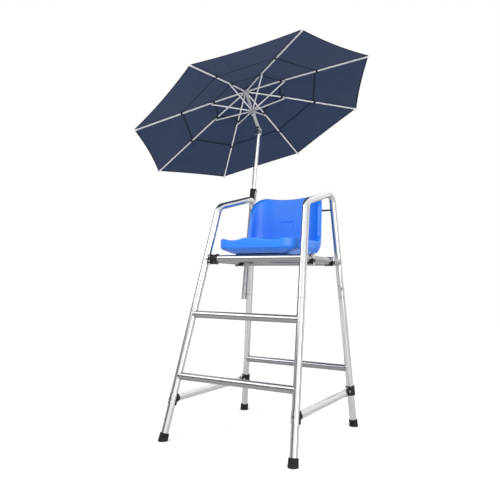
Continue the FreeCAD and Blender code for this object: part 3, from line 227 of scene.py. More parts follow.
weld_steel, tree, shader = finish_of("stainless_weld_bead", {"Metallic": 1.0, "Roughness": 0.42})
place = node(tree, "TexCoord").outputs["Object"]
heat = node(tree, "TexNoise", {"Scale": 1 / 0.012, "Detail": 2.0}, {"Vector": place})
tint = node(tree, "Mix", {"data_type": "RGBA", 6: colour("#a9a59d"), 7: colour("#c4c4c4")},
            {0: heat.outputs["Fac"]})
tree.links.new(tint.outputs[2], shader.inputs["Base Color"])
beads = []
for end, height in (("front", FRONT_RUNGS[0]), ("front", FRONT_RUNGS[1]), ("rear", REAR_RUNG)):
    left, right = on_leg(end, -1, height), on_leg(end, 1, height)
    middle, along = (left + right) / 2, (right - left).normalized()
    beads.append(bead(middle, along, leg_lines[end, 1]))
    beads.append(bead(middle, -along, leg_lines[end, -1]))
for side in (-1, 1):
    front, rear = on_leg("front", side, RAILS), on_leg("rear", side, RAILS)
    middle, along = (front + rear) / 2, (rear - front).normalized()
    beads.append(bead(middle, along, leg_lines["rear", side]))
    beads.append(bead(middle, -along, leg_lines["front", side]))
piece("weld_beads", *gather(beads), weld_steel, "frame")

# Snap buttons: a spring button in each necked leg end pops out through a hole in the hoop and locks it.
# It stands 30 mm above the joint, on the outside.

LEG_JOINT, BUTTON_ABOVE = 0.720, 0.030


def dome(centre, outward, radius, height, count=16, rings=4):
    """Low rounded head standing on a surface."""
    across = outward.orthogonal().normalized()
    other = outward.cross(across)
    points, faces = [], []
    for k in range(rings):
        turn = math.pi / 2 * k / rings
        level = centre + outward * (height * math.sin(turn))
        points += ring_points(level, across, other, radius * math.cos(turn), count)
    points.append(centre + outward * height)
    tip, last = rings * count, (rings - 1) * count
    for a in range(0, last, count):
        faces += [(a + j, a + (j + 1) % count, a + count + (j + 1) % count, a + count + j) for j in range(count)]
    faces += [(last + j, last + (j + 1) % count, tip) for j in range(count)]
    return points, faces


bright_steel, tree, shader = finish_of("stainless_fastener_tumbled", {"Metallic": 1.0, "Roughness": 0.24})
place = node(tree, "TexCoord").outputs["Object"]
scuff = node(tree, "TexNoise", {"Scale": 1 / 0.006, "Detail": 3.0}, {"Vector": place})
tone = node(tree, "Mix", {"data_type": "RGBA", 6: colour("#aeb0b3"), 7: colour("#c6c7ca")},
            {0: scuff.outputs["Fac"]})
tree.links.new(tone.outputs[2], shader.inputs["Base Color"])
buttons = []
for (end, side), (_, along) in leg_lines.items():
    outward = Vector((side, 0, 0))
    outward = (outward - along * outward.dot(along)).normalized()
    spot = on_leg(end, side, LEG_JOINT + BUTTON_ABOVE) + outward * (TUBE - 0.0004)
    buttons.append(dome(spot, outward, radius=0.0042, height=0.0026))
piece("snap_buttons", *gather(buttons), bright_steel, "frame")

# Leg joints: the hoop's end meets the shoulder of the necked leg in a fine seam, where dirt collects.

seam_dirt, tree, shader = finish_of("joint_seam_grime", {"Roughness": 0.7})
place = node(tree, "TexCoord").outputs["Object"]
specks = node(tree, "TexNoise", {"Scale": 1 / 0.004, "Detail": 3.0}, {"Vector": place})
tone = node(tree, "Mix", {"data_type": "RGBA", 6: colour("#2a2a2b"), 7: colour("#4c4b4a")},
            {0: specks.outputs["Fac"]})
tree.links.new(tone.outputs[2], shader.inputs["Base Color"])
seams = []
for (end, side), (_, along) in leg_lines.items():
    across = along.orthogonal().normalized()
    around = ring_points(on_leg(end, side, LEG_JOINT), across, along.cross(across), TUBE - 0.0002, 40)
    seams.append(swept(around, lambda i: 0.0010, 6, True))
piece("leg_joint_seams", *gather(seams), seam_dirt, "frame")

# Bars, hook and pin: drawn stainless stock, tumbled bright. The bars carry the seat across the side rails,
# the hook on the right rear leg holds a float or a bag, and the mast tilts on the pin.

paint(bright_steel, "seat_bars", "gear_hook", "tilt_pin")

# Back rod: cold drawn bar left as it came, darkened by its blacking oil, with faint lines from the die.

oiled_steel, tree, shader = finish_of("steel_rod_oil_blacked", {"Metallic": 0.8, "Roughness": 0.38})
place = node(tree, "TexCoord").outputs["Object"]
drawn = node(tree, "Mapping", {"Scale": (1 / 0.1, 1 / 0.0008, 1 / 0.0008)}, {"Vector": place})
lines = node(tree, "TexNoise", {"Scale": 1.0, "Detail": 2.0}, {"Vector": drawn.outputs[0]})
tone = node(tree, "Mix", {"data_type": "RGBA", 6: colour("#3b3c3f"), 7: colour("#55565a")},
            {0: lines.outputs["Fac"]})
tree.links.new(tone.outputs[2], shader.inputs["Base Color"])
paint(oiled_steel, "back_rod")

# Feet: moulded rubber boots pushed over the leg ends, matt black, dusty at the sole.

foot_rubber, tree, shader = finish_of("rubber_boot_moulded", {"Roughness": 0.65, "IOR": 1.5,
                                                              "Specular IOR Level": 0.3})
place = node(tree, "TexCoord").outputs["Object"]
height = node(tree, "SeparateXYZ", {}, {"Vector": place}).outputs["Z"]
dust = node(tree, "MapRange", {"From Min": 0.0, "From Max": 0.02, "To Min": 0.45, "To Max": 0.0},
            {"Value": height})
grain = node(tree, "TexNoise", {"Scale": 1 / 0.0015, "Detail": 4.0}, {"Vector": place})
tone = node(tree, "Mix", {"data_type": "RGBA", 6: colour("#0c0c0d"), 7: colour("#2f2d2b")},
            {0: dust.outputs[0]})
tree.links.new(tone.outputs[2], shader.inputs["Base Color"])
skin = node(tree, "Bump", {"Strength": 0.25, "Distance": 0.0003}, {"Height": grain.outputs["Fac"]})
tree.links.new(skin.outputs[0], shader.inputs["Normal"])
paint(foot_rubber, "foot_cap_front_left", "foot_cap_front_right", "foot_cap_rear_left", "foot_cap_rear_right")

# Black fittings: glass-filled nylon clamps, saddles, rings and the collar, injection moulded.
# A fine spark-eroded texture keeps them satin, and the flow of the moulding leaves faint paler patches.

black_nylon, tree, shader = finish_of("nylon_glass_filled_moulded", {"IOR": 1.5, "Specular IOR Level": 0.3})
place = node(tree, "TexCoord").outputs["Object"]
spark = node(tree, "TexNoise", {"Scale": 1 / 0.0009, "Detail": 3.0}, {"Vector": place})
patch = node(tree, "TexNoise", {"Scale": 1 / 0.02, "Detail": 2.0}, {"Vector": place})
rough = node(tree, "MapRange", {"From Min": 0.3, "From Max": 0.7, "To Min": 0.46, "To Max": 0.6},
             {"Value": patch.outputs["Fac"]})
tree.links.new(rough.outputs[0], shader.inputs["Roughness"])
tone = node(tree, "Mix", {"data_type": "RGBA", 6: colour("#0f0f11"), 7: colour("#1c1c1f")},
            {0: patch.outputs["Fac"]})
tree.links.new(tone.outputs[2], shader.inputs["Base Color"])
skin = node(tree, "Bump", {"Strength": 0.3, "Distance": 0.0002}, {"Height": spark.outputs["Fac"]})
tree.links.new(skin.outputs[0], shader.inputs["Normal"])
paint(black_nylon, "rail_socket", "rail_saddles", "stretcher_saddle_left", "stretcher_saddle_right",
      "leg_ring_left", "leg_ring_right", "seat_base", "holder_brackets", "holder_collar", "pole_bushing")

# Socket screws: two button-head screws close the rail socket's flange.

SCREW_IN, SCREW_APART = 0.008, 0.025
socket_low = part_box("rail_socket")[0]
heads = []
for lift in (SCREW_APART / 2, -SCREW_APART / 2):
    spot = Vector((socket_low[0] + SCREW_IN, socket_low[1] + 0.0002, RAILS + lift))
    heads.append(dome(spot, Vector((0, -1, 0)), radius=0.005, height=0.003))
piece("socket_screws", *gather(heads), bright_steel, "frame")

# Seat: one hollow tub in azure polyethylene, blow moulded, so every edge is softly rounded.
# The mould leaves a fine matt grain, and the plastic's flow leaves faint changes of tone.

seat_plastic, tree, shader = finish_of("polyethylene_blow_moulded_azure", {"IOR": 1.5, "Coat Weight": 0.05,
                                                                           "Coat Roughness": 0.3})
place = node(tree, "TexCoord").outputs["Object"]
flow = node(tree, "TexNoise", {"Scale": 1 / 0.09, "Detail": 3.0}, {"Vector": place})
grain = node(tree, "TexNoise", {"Scale": 1 / 0.0012, "Detail": 2.0}, {"Vector": place})
tone = node(tree, "Mix", {"data_type": "RGBA", 6: colour("#1479f2"), 7: colour("#2388fd")},
            {0: flow.outputs["Fac"]})
tree.links.new(tone.outputs[2], shader.inputs["Base Color"])
rough = node(tree, "MapRange", {"From Min": 0.3, "From Max": 0.7, "To Min": 0.34, "To Max": 0.46},
             {"Value": flow.outputs["Fac"]})
tree.links.new(rough.outputs[0], shader.inputs["Roughness"])
skin = node(tree, "Bump", {"Strength": 0.18, "Distance": 0.0002}, {"Height": grain.outputs["Fac"]})
tree.links.new(skin.outputs[0], shader.inputs["Normal"])

SEAT_CELL = 0.004
seat = bpy.data.objects.new("seat_moulding", nodes["seat_shell"].data.copy())
bpy.context.scene.collection.objects.link(seat)
remesh = seat.modifiers.new("cells", "REMESH")
remesh.mode = "VOXEL"
remesh.voxel_size = SEAT_CELL
soften = seat.modifiers.new("soften", "SMOOTH")
soften.factor = 0.5
soften.iterations = 8
bpy.context.view_layer.update()
shaped = bpy.data.meshes.new_from_object(seat.evaluated_get(bpy.context.evaluated_depsgraph_get()))
seat.modifiers.clear()
seat.data = shaped
shaped.name = "seat_moulding"

# the tub's rear corners sweep up from the underside in a long round, which fades out towards the front
SIDE, REAR, CORNER = 0.238, 0.292, 0.138
ROUND_IN, ROUND_UP = 0.062, 0.078
FADE_FROM, FADE = 0.020, 0.120
underside = min(vertex.co.z for vertex in shaped.vertices)
for vertex in shaped.vertices:
    x, y, z = vertex.co
    over = Vector((max(abs(x) - (SIDE - CORNER), 0.0), max(y - (REAR - CORNER), 0.0)))
    into = CORNER - over.length
    a, b = 1 - into / ROUND_IN, 1 - (z - underside) / ROUND_UP
    if over.length > 0 and a > 0 and b > 0 and math.hypot(a, b) > 1 and y > FADE_FROM:
        share = min((y - FADE_FROM) / FADE, 1.0)
        shrink = 1 + (1 / math.hypot(a, b) - 1) * share * share * (3 - 2 * share)
        step = over.normalized() * (a - a * shrink) * ROUND_IN
        vertex.co = (x - math.copysign(step.x, x), y - step.y, z + (b - b * shrink) * ROUND_UP)

# plain recess in the backrest: a smooth surface is fitted to the wall round it, and the recess is sunk into
# that surface with a crisp edge, in finer cells than the rest; the half sizes after its own are those of the
# finer cells, of the fitted wall and of the solid's recess, which the fit leaves out
SUNK_X, SUNK_Z, SUNK_HALF, SUNK_TALL = -0.018, 1.132, 0.043, 0.021
SUNK_DEPTH, SUNK_CORNER, SUNK_EDGE = 0.005, 0.004, 0.0024
FINE_HALF, FINE_TALL, BLEND = 0.080, 0.036, 0.014
WALL_HALF, WALL_TALL = 0.115, 0.070
SOLID_HALF, SOLID_TALL = 0.057, 0.035
FACES_SITTER = -0.6
shape = bmesh.new()
shape.from_mesh(shaped)
shape.normal_update()
edges = set()
for face in shape.faces:
    middle = face.calc_center_median()
    if face.normal.y < FACES_SITTER and abs(middle.x) < FINE_HALF and abs(middle.z - SUNK_Z) < FINE_TALL:
        edges.update(face.edges)
in_order = sorted(edges, key=lambda edge: edge.index)
bmesh.ops.subdivide_edges(shape, edges=in_order, cuts=2, use_grid_fill=True)
shape.normal_update()
wall = [v for v in shape.verts
        if v.normal.y < FACES_SITTER and abs(v.co.x) < WALL_HALF and abs(v.co.z - SUNK_Z) < WALL_TALL]


def terms(points):
    """Terms of a gently curved wall, y as a square law in x and z."""
    x, z = points[:, 0], points[:, 2] - SUNK_Z
    return numpy.stack([numpy.ones_like(x), x, z, x * x, x * z, z * z], axis=1)


spots = numpy.array([tuple(v.co) for v in wall])
round_it = spots[(abs(spots[:, 0]) > SOLID_HALF) | (abs(spots[:, 2] - SUNK_Z) > SOLID_TALL)]
fit = numpy.linalg.lstsq(terms(round_it), round_it[:, 1], rcond=None)[0]
for v, smooth_y in zip(wall, terms(spots) @ fit):
    out_x = abs(v.co.x - SUNK_X) - SUNK_HALF + SUNK_CORNER
    out_z = abs(v.co.z - SUNK_Z) - SUNK_TALL + SUNK_CORNER
    out = math.hypot(max(out_x, 0), max(out_z, 0)) + min(max(out_x, out_z), 0) - SUNK_CORNER
    sunk = min(max(0.5 - out / SUNK_EDGE, 0.0), 1.0)
    away = max(abs(v.co.x) - (FINE_HALF - BLEND), abs(v.co.z - SUNK_Z) - FINE_TALL, 0.0)
    near = 1 - min(away / BLEND, 1.0)
    v.co.y += (float(smooth_y) - v.co.y) * near + SUNK_DEPTH * sunk
shape.to_mesh(shaped)
shape.free()
shaped.materials.clear()
shaped.materials.append(seat_plastic)
shaped.shade_smooth()
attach(seat, "frame")
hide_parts("seat_shell")

# Umbrella holder and lower pole: drawn aluminium tube, bright anodised, so its lines are long and soft.

bright_tube, tree, shader = finish_of("aluminium_tube_bright_anodised", {"Metallic": 1.0})
place = node(tree, "TexCoord").outputs["Object"]
draw = node(tree, "Mapping", {"Scale": (1 / 0.002, 1 / 0.002, 1 / 0.2)}, {"Vector": place})
lines = node(tree, "TexNoise", {"Scale": 1.0, "Detail": 2.0}, {"Vector": draw.outputs[0]})
rough = node(tree, "MapRange", {"From Min": 0.3, "From Max": 0.7, "To Min": 0.18, "To Max": 0.28},
             {"Value": lines.outputs["Fac"]})
tree.links.new(rough.outputs[0], shader.inputs["Roughness"])
tone = node(tree, "Mix", {"data_type": "RGBA", 6: colour("#bdbfc3"), 7: colour("#cfd0d4")},
            {0: lines.outputs["Fac"]})
tree.links.new(tone.outputs[2], shader.inputs["Base Color"])
paint(bright_tube, "holder_tube", "pole")

# Clamp lever: a stamped steel handle, chromed, that hangs from a pin in the collar.

chrome, tree, shader = finish_of("steel_chromed", {"Metallic": 1.0, "Roughness": 0.1})
place = node(tree, "TexCoord").outputs["Object"]
wipe = node(tree, "TexNoise", {"Scale": 1 / 0.008, "Detail": 2.0}, {"Vector": place})
tone = node(tree, "Mix", {"data_type": "RGBA", 6: colour("#cfd1d4"), 7: colour("#e6e7e9")},
            {0: wipe.outputs["Fac"]})
tree.links.new(tone.outputs[2], shader.inputs["Base Color"])
paint(chrome, "clamp_lever")

# Hubs: crown hub and runner, moulded in grey acetal with a waxy, even skin, under a black nylon cap.

grey_acetal, tree, shader = finish_of("acetal_moulded_grey", {"IOR": 1.48})
place = node(tree, "TexCoord").outputs["Object"]
patch = node(tree, "TexNoise", {"Scale": 1 / 0.015, "Detail": 2.0}, {"Vector": place})
tone = node(tree, "Mix", {"data_type": "RGBA", 6: colour("#9fa0a4"), 7: colour("#b3b4b8")},
            {0: patch.outputs["Fac"]})
tree.links.new(tone.outputs[2], shader.inputs["Base Color"])
rough = node(tree, "MapRange", {"From Min": 0.3, "From Max": 0.7, "To Min": 0.35, "To Max": 0.45},
             {"Value": patch.outputs["Fac"]})
tree.links.new(rough.outputs[0], shader.inputs["Roughness"])
paint(grey_acetal, "crown_hub", "runner")
paint(black_nylon, "crown_cap")

# Mast, ribs and struts: steel with silver powder paint, which is even, pale and slightly pebbled.
# Each of the eight ribs has a strut.

silver_paint, tree, shader = finish_of("powder_paint_silver", {"Metallic": 0.2, "IOR": 1.5})
place = node(tree, "TexCoord").outputs["Object"]
pebble = node(tree, "TexNoise", {"Scale": 1 / 0.0012, "Detail": 2.0}, {"Vector": place})
patch = node(tree, "TexNoise", {"Scale": 1 / 0.03, "Detail": 2.0}, {"Vector": place})
tone = node(tree, "Mix", {"data_type": "RGBA", 6: colour("#dddde1"), 7: colour("#e8e8eb")},
            {0: patch.outputs["Fac"]})
tree.links.new(tone.outputs[2], shader.inputs["Base Color"])
rough = node(tree, "MapRange", {"From Min": 0.3, "From Max": 0.7, "To Min": 0.32, "To Max": 0.42},
             {"Value": patch.outputs["Fac"]})
tree.links.new(rough.outputs[0], shader.inputs["Roughness"])
skin = node(tree, "Bump", {"Strength": 0.2, "Distance": 0.0002}, {"Height": pebble.outputs["Fac"]})
tree.links.new(skin.outputs[0], shader.inputs["Normal"])
RIBS = 8
RIB_NUMBERS = range(1, RIBS + 1)
paint(silver_paint, "mast", *[f"{part}_{number}" for number in RIB_NUMBERS for part in ("rib", "strut")])

# Canopy: three tiers of navy solution-dyed polyester, each sewn from eight gores. The tiers overlap and are
# left open at their hems, so wind can pass. The cloth is stretched over the ribs and tied to them.

joints = {joint["name"]: joint for joint in frame["joints"]}
MAST_UP = -Vector(joints["runner_slide"]["axis"])
RING, CROWN_ABOVE_PIN = 0.0175, 0.2756
CROWN = Vector(joints["mast_tilt"]["pos_m"]) + MAST_UP * CROWN_ABOVE_PIN
BEND, BEND_DROP = 0.2578, 0.0597
RIM, RIM_DROP = 0.775, 0.2016
RIB_R, CLOTH_OFF, CLOTH_HALF = 0.005, 0.0004, 0.0008
SLOPE = math.atan2(BEND_DROP, BEND - RING)
HALF = math.pi / RIBS
HEM_BOW, BOW_FROM_HEM = 0.016, 0.12
TIER_LIFT, LIFT_RUN = 0.0034, 0.012
BINDING = 0.011


def rib_line(reach):
    """Height of a rib's axis above the plane of the crown pivots, at a distance from the mast."""
    if reach <= BEND:
        return -(reach - RING) * BEND_DROP / (BEND - RING)
    return -BEND_DROP - (reach - BEND) / (RIM - BEND) * (RIM_DROP - BEND_DROP)


def over_rib(reach):
    """Height of the middle of the cloth where it lies on a rib."""
    return rib_line(reach) + RIB_R / math.cos(SLOPE) + CLOTH_OFF + CLOTH_HALF


def tier(first, hem, bound, lift_from, steps):
    """Rows of a tier that lies over the ribs, with a row where the binding of an edge ends."""
    inner = first + BINDING * bound
    reaches = [first] * bound + [inner + (hem - BINDING - inner) * i / steps for i in range(steps + 1)] + [hem]
    lifts = [TIER_LIFT * max(0.0, min(1.0, (reach - lift_from) / LIFT_RUN)) for reach in reaches]
    return [(reach, over_rib(reach) + lift) for reach, lift in zip(reaches, lifts)]


def cloth_at(reach, height, angle, hem, sag):
    """Point of a gore in its rib's frame: x along the rib, y across it, z up the mast."""
    side = abs(angle)
    wide = math.cos(HALF) / math.cos(side - HALF)
    share = (math.tan(HALF) - math.tan(HALF - side)) / (2 * math.tan(HALF))
    bulge = 4 * share * (1 - share)
    near_hem = min(max(1 - (hem - reach) / BOW_FROM_HEM, 0.0), 1.0) ** 2
    flat = reach * (1 - HEM_BOW * bulge * near_hem) * wide
    return Vector((flat * math.cos(angle), flat * math.sin(angle), height - sag * bulge))


# rows of each tier from the mast outwards: distance from the mast and height over the crown pivots
INNER_VENT, OUTER_VENT = 0.226, 0.454
TOP_HEM, MIDDLE_HEM, LIFTED = 0.246, 0.476, 0.038
CROWN_CLOTH, CROWN_SLOPE = 0.083, -0.15
top_rows = [(0.0090, 0.0101), (0.0180, 0.0101), (0.0300, 0.0098), (0.0500, 0.0068)]
top_rows += tier(CROWN_CLOTH, TOP_HEM, 0, TOP_HEM - LIFTED, 6)
middle_rows = tier(INNER_VENT, MIDDLE_HEM, 1, MIDDLE_HEM - LIFTED, 8)
outer_rows = tier(OUTER_VENT, RIM, 1, RIM, 11)
# how far each tier sags midway between two ribs
TIER_SAGS = ((top_rows, 0.0015), (middle_rows, 0.003), (outer_rows, 0.006))
ACROSS, SLOPE_RUN = 10, 0.004

canvas, tree, shader = finish_of("polyester_canvas_navy", {"Roughness": 0.9, "IOR": 1.5,
                                                           "Specular IOR Level": 0.2,
                                                           "Sheen Weight": 0.05, "Sheen Roughness": 0.5})
# the real weave is 0.4 mm; it is drawn four times as coarse so that it shows close up
flat_map = node(tree, "UVMap", {"uv_map": "cut"}).outputs["UV"]
place = node(tree, "TexCoord").outputs["Object"]
warp = node(tree, "TexWave", {"Scale": 1 / 0.0016 / 6.28, "bands_direction": "X"}, {"Vector": flat_map})
weft = node(tree, "TexWave", {"Scale": 1 / 0.0016 / 6.28, "bands_direction": "Y"}, {"Vector": flat_map})
weave = node(tree, "Math", {"operation": "MAXIMUM"}, {0: warp.outputs["Fac"], 1: weft.outputs["Fac"]})
fade = node(tree, "TexNoise", {"Scale": 1 / 0.11, "Detail": 4.0}, {"Vector": place})
tone = node(tree, "Mix", {"data_type": "RGBA", 6: colour("#2b3856"), 7: colour("#33425f")},
            {0: fade.outputs["Fac"]})
thread = node(tree, "Mix", {"data_type": "RGBA", "blend_type": "MULTIPLY", 0: 0.18},
              {6: tone.outputs[2], 7: weave.outputs[0]})
tree.links.new(thread.outputs[2], shader.inputs["Base Color"])
skin = node(tree, "Bump", {"Strength": 0.35, "Distance": 0.0002}, {"Height": weave.outputs[0]})
tree.links.new(skin.outputs[0], shader.inputs["Normal"])

# the edges of the tiers are bound with a folded tape 11 mm wide, darker than the cloth and stitched 8.5 mm in
tape, tree, shader = finish_of("polyester_binding_tape", {"Roughness": 0.85, "IOR": 1.5,
                                                          "Specular IOR Level": 0.2})
flat_map = node(tree, "UVMap", {"uv_map": "cut"}).outputs["UV"]
spot = node(tree, "SeparateXYZ", {}, {"Vector": flat_map})
row = node(tree, "Math", {"operation": "COMPARE", 1: 0.0085, 2: 0.0006}, {0: spot.outputs["Y"]})
pitch = node(tree, "Math", {"operation": "PINGPONG", 1: 0.002}, {0: spot.outputs["X"]})
pitch = node(tree, "Math", {"operation": "GREATER_THAN", 1: 0.0005}, {0: pitch.outputs[0]})
stitch = node(tree, "Math", {"operation": "MULTIPLY"}, {0: row.outputs[0], 1: pitch.outputs[0]})
twill = node(tree, "TexWave", {"Scale": 1 / 0.0014 / 6.28, "bands_direction": "DIAGONAL"},
             {"Vector": flat_map})
tone = node(tree, "Mix", {"data_type": "RGBA", 6: colour("#131a2b"), 7: colour("#1d263b")},
            {0: twill.outputs["Fac"]})
sewn = node(tree, "Mix", {"data_type": "RGBA", 7: colour("#39445e")},
            {0: stitch.outputs[0], 6: tone.outputs[2]})
tree.links.new(sewn.outputs[2], shader.inputs["Base Color"])
skin = node(tree, "Bump", {"Strength": 0.4, "Distance": 0.0003}, {"Height": stitch.outputs[0]})
tree.links.new(skin.outputs[0], shader.inputs["Normal"])


def gore_mesh(name, to_row):
    """One gore-wide piece of all three tiers, centred on a rib, creased along the rib's sewn seam."""
    points, faces, normals, cut, bound = [], [], [], [], []
    for rows, sag in TIER_SAGS:
        first, hem = rows[0][0], rows[-1][0]
        for side in (-1, 1):
            start = len(points)
            for reach, height in rows:
                depth = sag * 0.5 if reach > CROWN_CLOTH else 0.0
                if first < reach < hem:
                    depth = max(depth, sag * math.sin(math.pi * (reach - first) / (hem - first)) ** 0.5)
                slope = CROWN_SLOPE
                if reach > CROWN_CLOTH:
                    low, high = max(reach - SLOPE_RUN, first), min(reach + SLOPE_RUN, hem)
                    slope = (over_rib(high) - over_rib(low)) / (high - low)
                for step in range(ACROSS + 1):
                    angle = side * HALF * step / ACROSS
                    inward = angle - side * 1e-4 if step else angle
                    outward = angle + side * 1e-4 if step < ACROSS else angle
                    sideways = (cloth_at(reach, height, outward, hem, depth)
                                - cloth_at(reach, height, inward, hem, depth))
                    if step == ACROSS:
                        sideways = Vector((-math.sin(angle), math.cos(angle), 0)) * side
                    normal = Vector((math.cos(angle), math.sin(angle), slope)).cross(sideways) * side
                    points.append(cloth_at(reach, height, angle, hem, depth))
                    normals.append(normal.normalized() if normal.z > 0 else -normal.normalized())
                    cut.append((reach * math.tan(angle), hem - reach))
            wide = ACROSS + 1
            for i in range(len(rows) - 1):
                for a in range(start + i * wide, start + i * wide + ACROSS):
                    quad = (a, a + 1, a + wide + 1, a + wide)
                    faces.append(quad if side < 0 else quad[::-1])
                    bound.append(i == len(rows) - 2 or (i == 0 and rows is not top_rows))
    mesh = bpy.data.meshes.new(name)
    mesh.from_pydata([tuple(to_row @ p) for p in points], [], faces)
    mesh.materials.append(canvas)
    mesh.materials.append(tape)
    mesh.polygons.foreach_set("material_index", [int(edge) for edge in bound])
    spread = mesh.uv_layers.new(name="cut")
    turn = to_row.to_3x3()
    for loop in mesh.loops:
        spread.data[loop.index].uv = cut[loop.vertex_index]
    mesh.shade_smooth()
    mesh.normals_split_custom_set_from_vertices([tuple((turn @ n).normalized()) for n in normals])
    mesh.update()
    made = bpy.data.objects.new(name, mesh)
    bpy.context.scene.collection.objects.link(made)
    return made


for number in RIB_NUMBERS:
    hinge = joints[f"rib_{number}_pivot"]
    tangent = Vector(hinge["axis"])
    to_row = Matrix((tangent.cross(MAST_UP), tangent, MAST_UP)).transposed().to_4x4()
    to_row.translation = CROWN
    gore = gore_mesh(f"canopy_gore_{number}", to_row)
    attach(gore, f"rib_{number}")
    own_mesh(gore)
    if number == 1:
        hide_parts("canopy_top", "canopy_middle", "canopy_outer")

# Rib fittings: a pressed cap at each rib's tip, a sleeve where the strut is pinned, and a cloth tie in a bow
# round the rib at each vent.

TIES_AT, TIE_HALF = (0.238, 0.466), 0.006
# points of a bow: along the rib, below it, aside of it, and radius; of a cap and a sleeve: along it, and radius
BOW = ((0.000, 0.0080, 0.000, 0.0018), (0.001, 0.0075, 0.006, 0.0026),
       (0.003, 0.0095, 0.012, 0.0026), (0.002, 0.0125, 0.014, 0.0014))
TIP = ((-0.030, 0.0051), (-0.028, 0.0057), (-0.002, 0.0057), (0.002, 0.0050), (0.004, 0.0020))
SLEEVE = ((-0.016, 0.0051), (-0.015, 0.0057), (0.015, 0.0057), (0.016, 0.0051))
PINNED = BEND - 0.011 * math.sin(SLOPE)


def at_rib(number, reach, drop=0.0, aside=0.0):
    """Point by a rib's axis, at a distance from the mast."""
    tangent = Vector(joints[f"rib_{number}_pivot"]["axis"])
    return CROWN + tangent.cross(MAST_UP) * reach + MAST_UP * (rib_line(reach) - drop) + tangent * aside


def sleeve_on(number, middle, profile):
    """Round sleeve along a rib, from its stations and radii."""
    return swept([at_rib(number, middle + station) for station, _ in profile], lambda i: profile[i][1], 14)


for number in RIB_NUMBERS:
    ties = []
    for reach in TIES_AT:
        ties.append(sleeve_on(number, reach, ((-TIE_HALF, RIB_R + 0.0007), (TIE_HALF, RIB_R + 0.0007))))
        ties.append(dome(at_rib(number, reach, 0.0055), -MAST_UP, 0.0045, 0.005, 12, 3))
        for side in (-1, 1):
            loop = [at_rib(number, reach + on, drop, side * aside) for on, drop, aside, _ in BOW]
            ties.append(swept(loop, lambda i: BOW[i][3], 8))
    body = f"rib_{number}"
    piece(f"rib_ties_{number}", *gather(ties), tape, body)
    piece(f"rib_tip_{number}", *sleeve_on(number, RIM, TIP), silver_paint, body)
    piece(f"strut_clip_{number}", *sleeve_on(number, PINNED, SLEEVE), bright_steel, body)

# Floor: a seamless pale studio floor, white to the camera, that keeps the chair's soft shadow.

floor_paint, tree, shader = finish_of("studio_floor", {"Base Color": colour("#f4f4f4"), "Roughness": 0.9,
                                                       "Specular IOR Level": 0.2})
path = node(tree, "LightPath")
dimmed = node(tree, "Math", {"operation": "MULTIPLY", 1: 0.3}, {0: path.outputs["Is Glossy Ray"]})
seen = node(tree, "Math", {"operation": "MAXIMUM"},
            {0: path.outputs["Is Camera Ray"], 1: dimmed.outputs[0]})
seen = node(tree, "Math", {"operation": "MAXIMUM"},
            {0: seen.outputs[0], 1: path.outputs["Is Transmission Ray"]})
power = node(tree, "Math", {"operation": "MULTIPLY", 1: 0.34}, {0: seen.outputs[0]})
glow = node(tree, "Emission", {"Color": (1, 1, 1, 1)}, {"Strength": power.outputs[0]})
both = node(tree, "AddShader", {}, {0: shader.outputs[0], 1: glow.outputs[0]})
tree.links.new(both.outputs[0], tree.nodes["Material Output"].inputs["Surface"])
mesh = bpy.data.meshes.new("studio_floor")
REACH = 60.0
mesh.from_pydata([(-REACH, -REACH, 0), (REACH, -REACH, 0), (REACH, REACH, 0), (-REACH, REACH, 0)], [],
                 [(0, 1, 2, 3)])
mesh.materials.append(floor_paint)
floor = bpy.data.objects.new("studio_floor", mesh)
bpy.context.scene.collection.objects.link(floor)

# Light: a bright even studio room, a large soft lamp high on the left and a weaker one on the right.

world = bpy.data.worlds.new("studio_room")
bpy.context.scene.world = world
world.use_nodes = True
tree = world.node_tree
tree.nodes.clear()
path = node(tree, "LightPath")
seen = node(tree, "Math", {"operation": "MAXIMUM"},
            {0: path.outputs["Is Camera Ray"], 1: path.outputs["Is Transmission Ray"]})
# shiny metal sees an even room with a bright wall to the front right, a dark screen to the front left and one
# on the left, and light from behind the chair and from above; each has a direction, the cosines where it starts
# and is full, and a share
SHINE = 0.75
SCREENS = (((0.50, -0.87, 0.0), 0.55, 0.90, 0.60), ((-0.50, -0.87, 0.0), 0.84, 0.97, -0.63),
           ((-0.96, 0.28, 0.0), 0.72, 0.96, -0.68), ((0.0, 1.0, 0.0), 0.20, 0.90, 0.45),
           ((0.0, 0.0, 1.0), 0.30, 0.80, 0.50))
way = node(tree, "TexCoord").outputs["Generated"]
total = node(tree, "Math", {"operation": "ADD", 0: SHINE, 1: 0.0})
for aim, starts, full, share in SCREENS:
    towards = node(tree, "VectorMath", {"operation": "DOT_PRODUCT", 1: aim}, {0: way})
    screen = node(tree, "MapRange", {"interpolation_type": "SMOOTHSTEP", "From Min": starts,
                                     "From Max": full, "To Min": 0.0, "To Max": share},
                  {"Value": towards.outputs["Value"]})
    total = node(tree, "Math", {"operation": "ADD"}, {0: total.outputs[0], 1: screen.outputs[0]})
room = node(tree, "Background", {"Color": (1, 1, 1, 1), "Strength": 0.72})
shiny = node(tree, "Background", {"Color": (1, 1, 1, 1)}, {"Strength": total.outputs[0]})
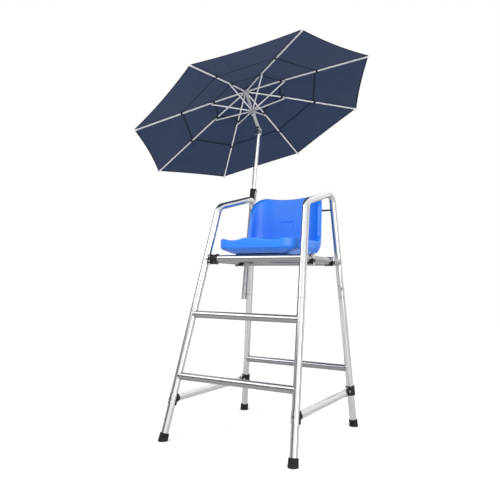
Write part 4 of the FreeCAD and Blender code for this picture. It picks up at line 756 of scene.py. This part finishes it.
white = node(tree, "Background", {"Color": (1, 1, 1, 1), "Strength": 1.0})
mixed = node(tree, "MixShader", {}, {0: path.outputs["Is Glossy Ray"], 1: room.outputs[0], 2: shiny.outputs[0]})
mixed = node(tree, "MixShader", {}, {0: seen.outputs[0], 1: mixed.outputs[0], 2: white.outputs[0]})
node(tree, "OutputWorld", {}, {"Surface": mixed.outputs[0]})


def lamp(name, spot, aim, size, power):
    """A square soft lamp that looks at a point."""
    data = bpy.data.lights.new(name, "AREA")
    data.shape = "SQUARE"
    data.size = size
    data.energy = power
    made = bpy.data.objects.new(name, data)
    made.location = spot
    made.rotation_euler = (Vector(aim) - Vector(spot)).to_track_quat("-Z", "Y").to_euler()
    bpy.context.scene.collection.objects.link(made)


lamp("key_lamp", (-2.6, -3.4, 3.6), (0, 0, 1.0), 2.4, 85)
lamp("fill_lamp", (3.6, -2.2, 1.6), (0, 0, 1.0), 2.0, 60)

# Camera: fitted to the photograph, low and to the right of the chair, looking slightly up.

AZIMUTH, PITCH, ROLL = (math.radians(a) for a in (29.674, 3.708, 1.057))
FOCAL_PIXELS, FRAME_PIXELS, SENSOR = 531.751, 500, 36.0
level = Vector((math.cos(AZIMUTH), math.sin(AZIMUTH), 0))
ahead = Vector((-math.sin(AZIMUTH), math.cos(AZIMUTH), 0))
look = ahead * math.cos(PITCH) + Vector((0, 0, math.sin(PITCH)))
upright = level.cross(look)
right = level * math.cos(ROLL) + upright * math.sin(ROLL)
up = upright * math.cos(ROLL) - level * math.sin(ROLL)
lens = bpy.data.cameras.new("photo_camera")
lens.sensor_width = SENSOR
lens.lens = SENSOR * FOCAL_PIXELS / FRAME_PIXELS
lens.clip_end = 200.0
camera = bpy.data.objects.new("photo_camera", lens)
stand = Matrix((right, up, -look)).transposed().to_4x4()
stand.translation = Vector((1.33824, -2.53532, 0.78105))
camera.matrix_world = stand
bpy.context.scene.collection.objects.link(camera)
bpy.context.scene.camera = camera
bpy.context.scene.view_settings.view_transform = "Standard"
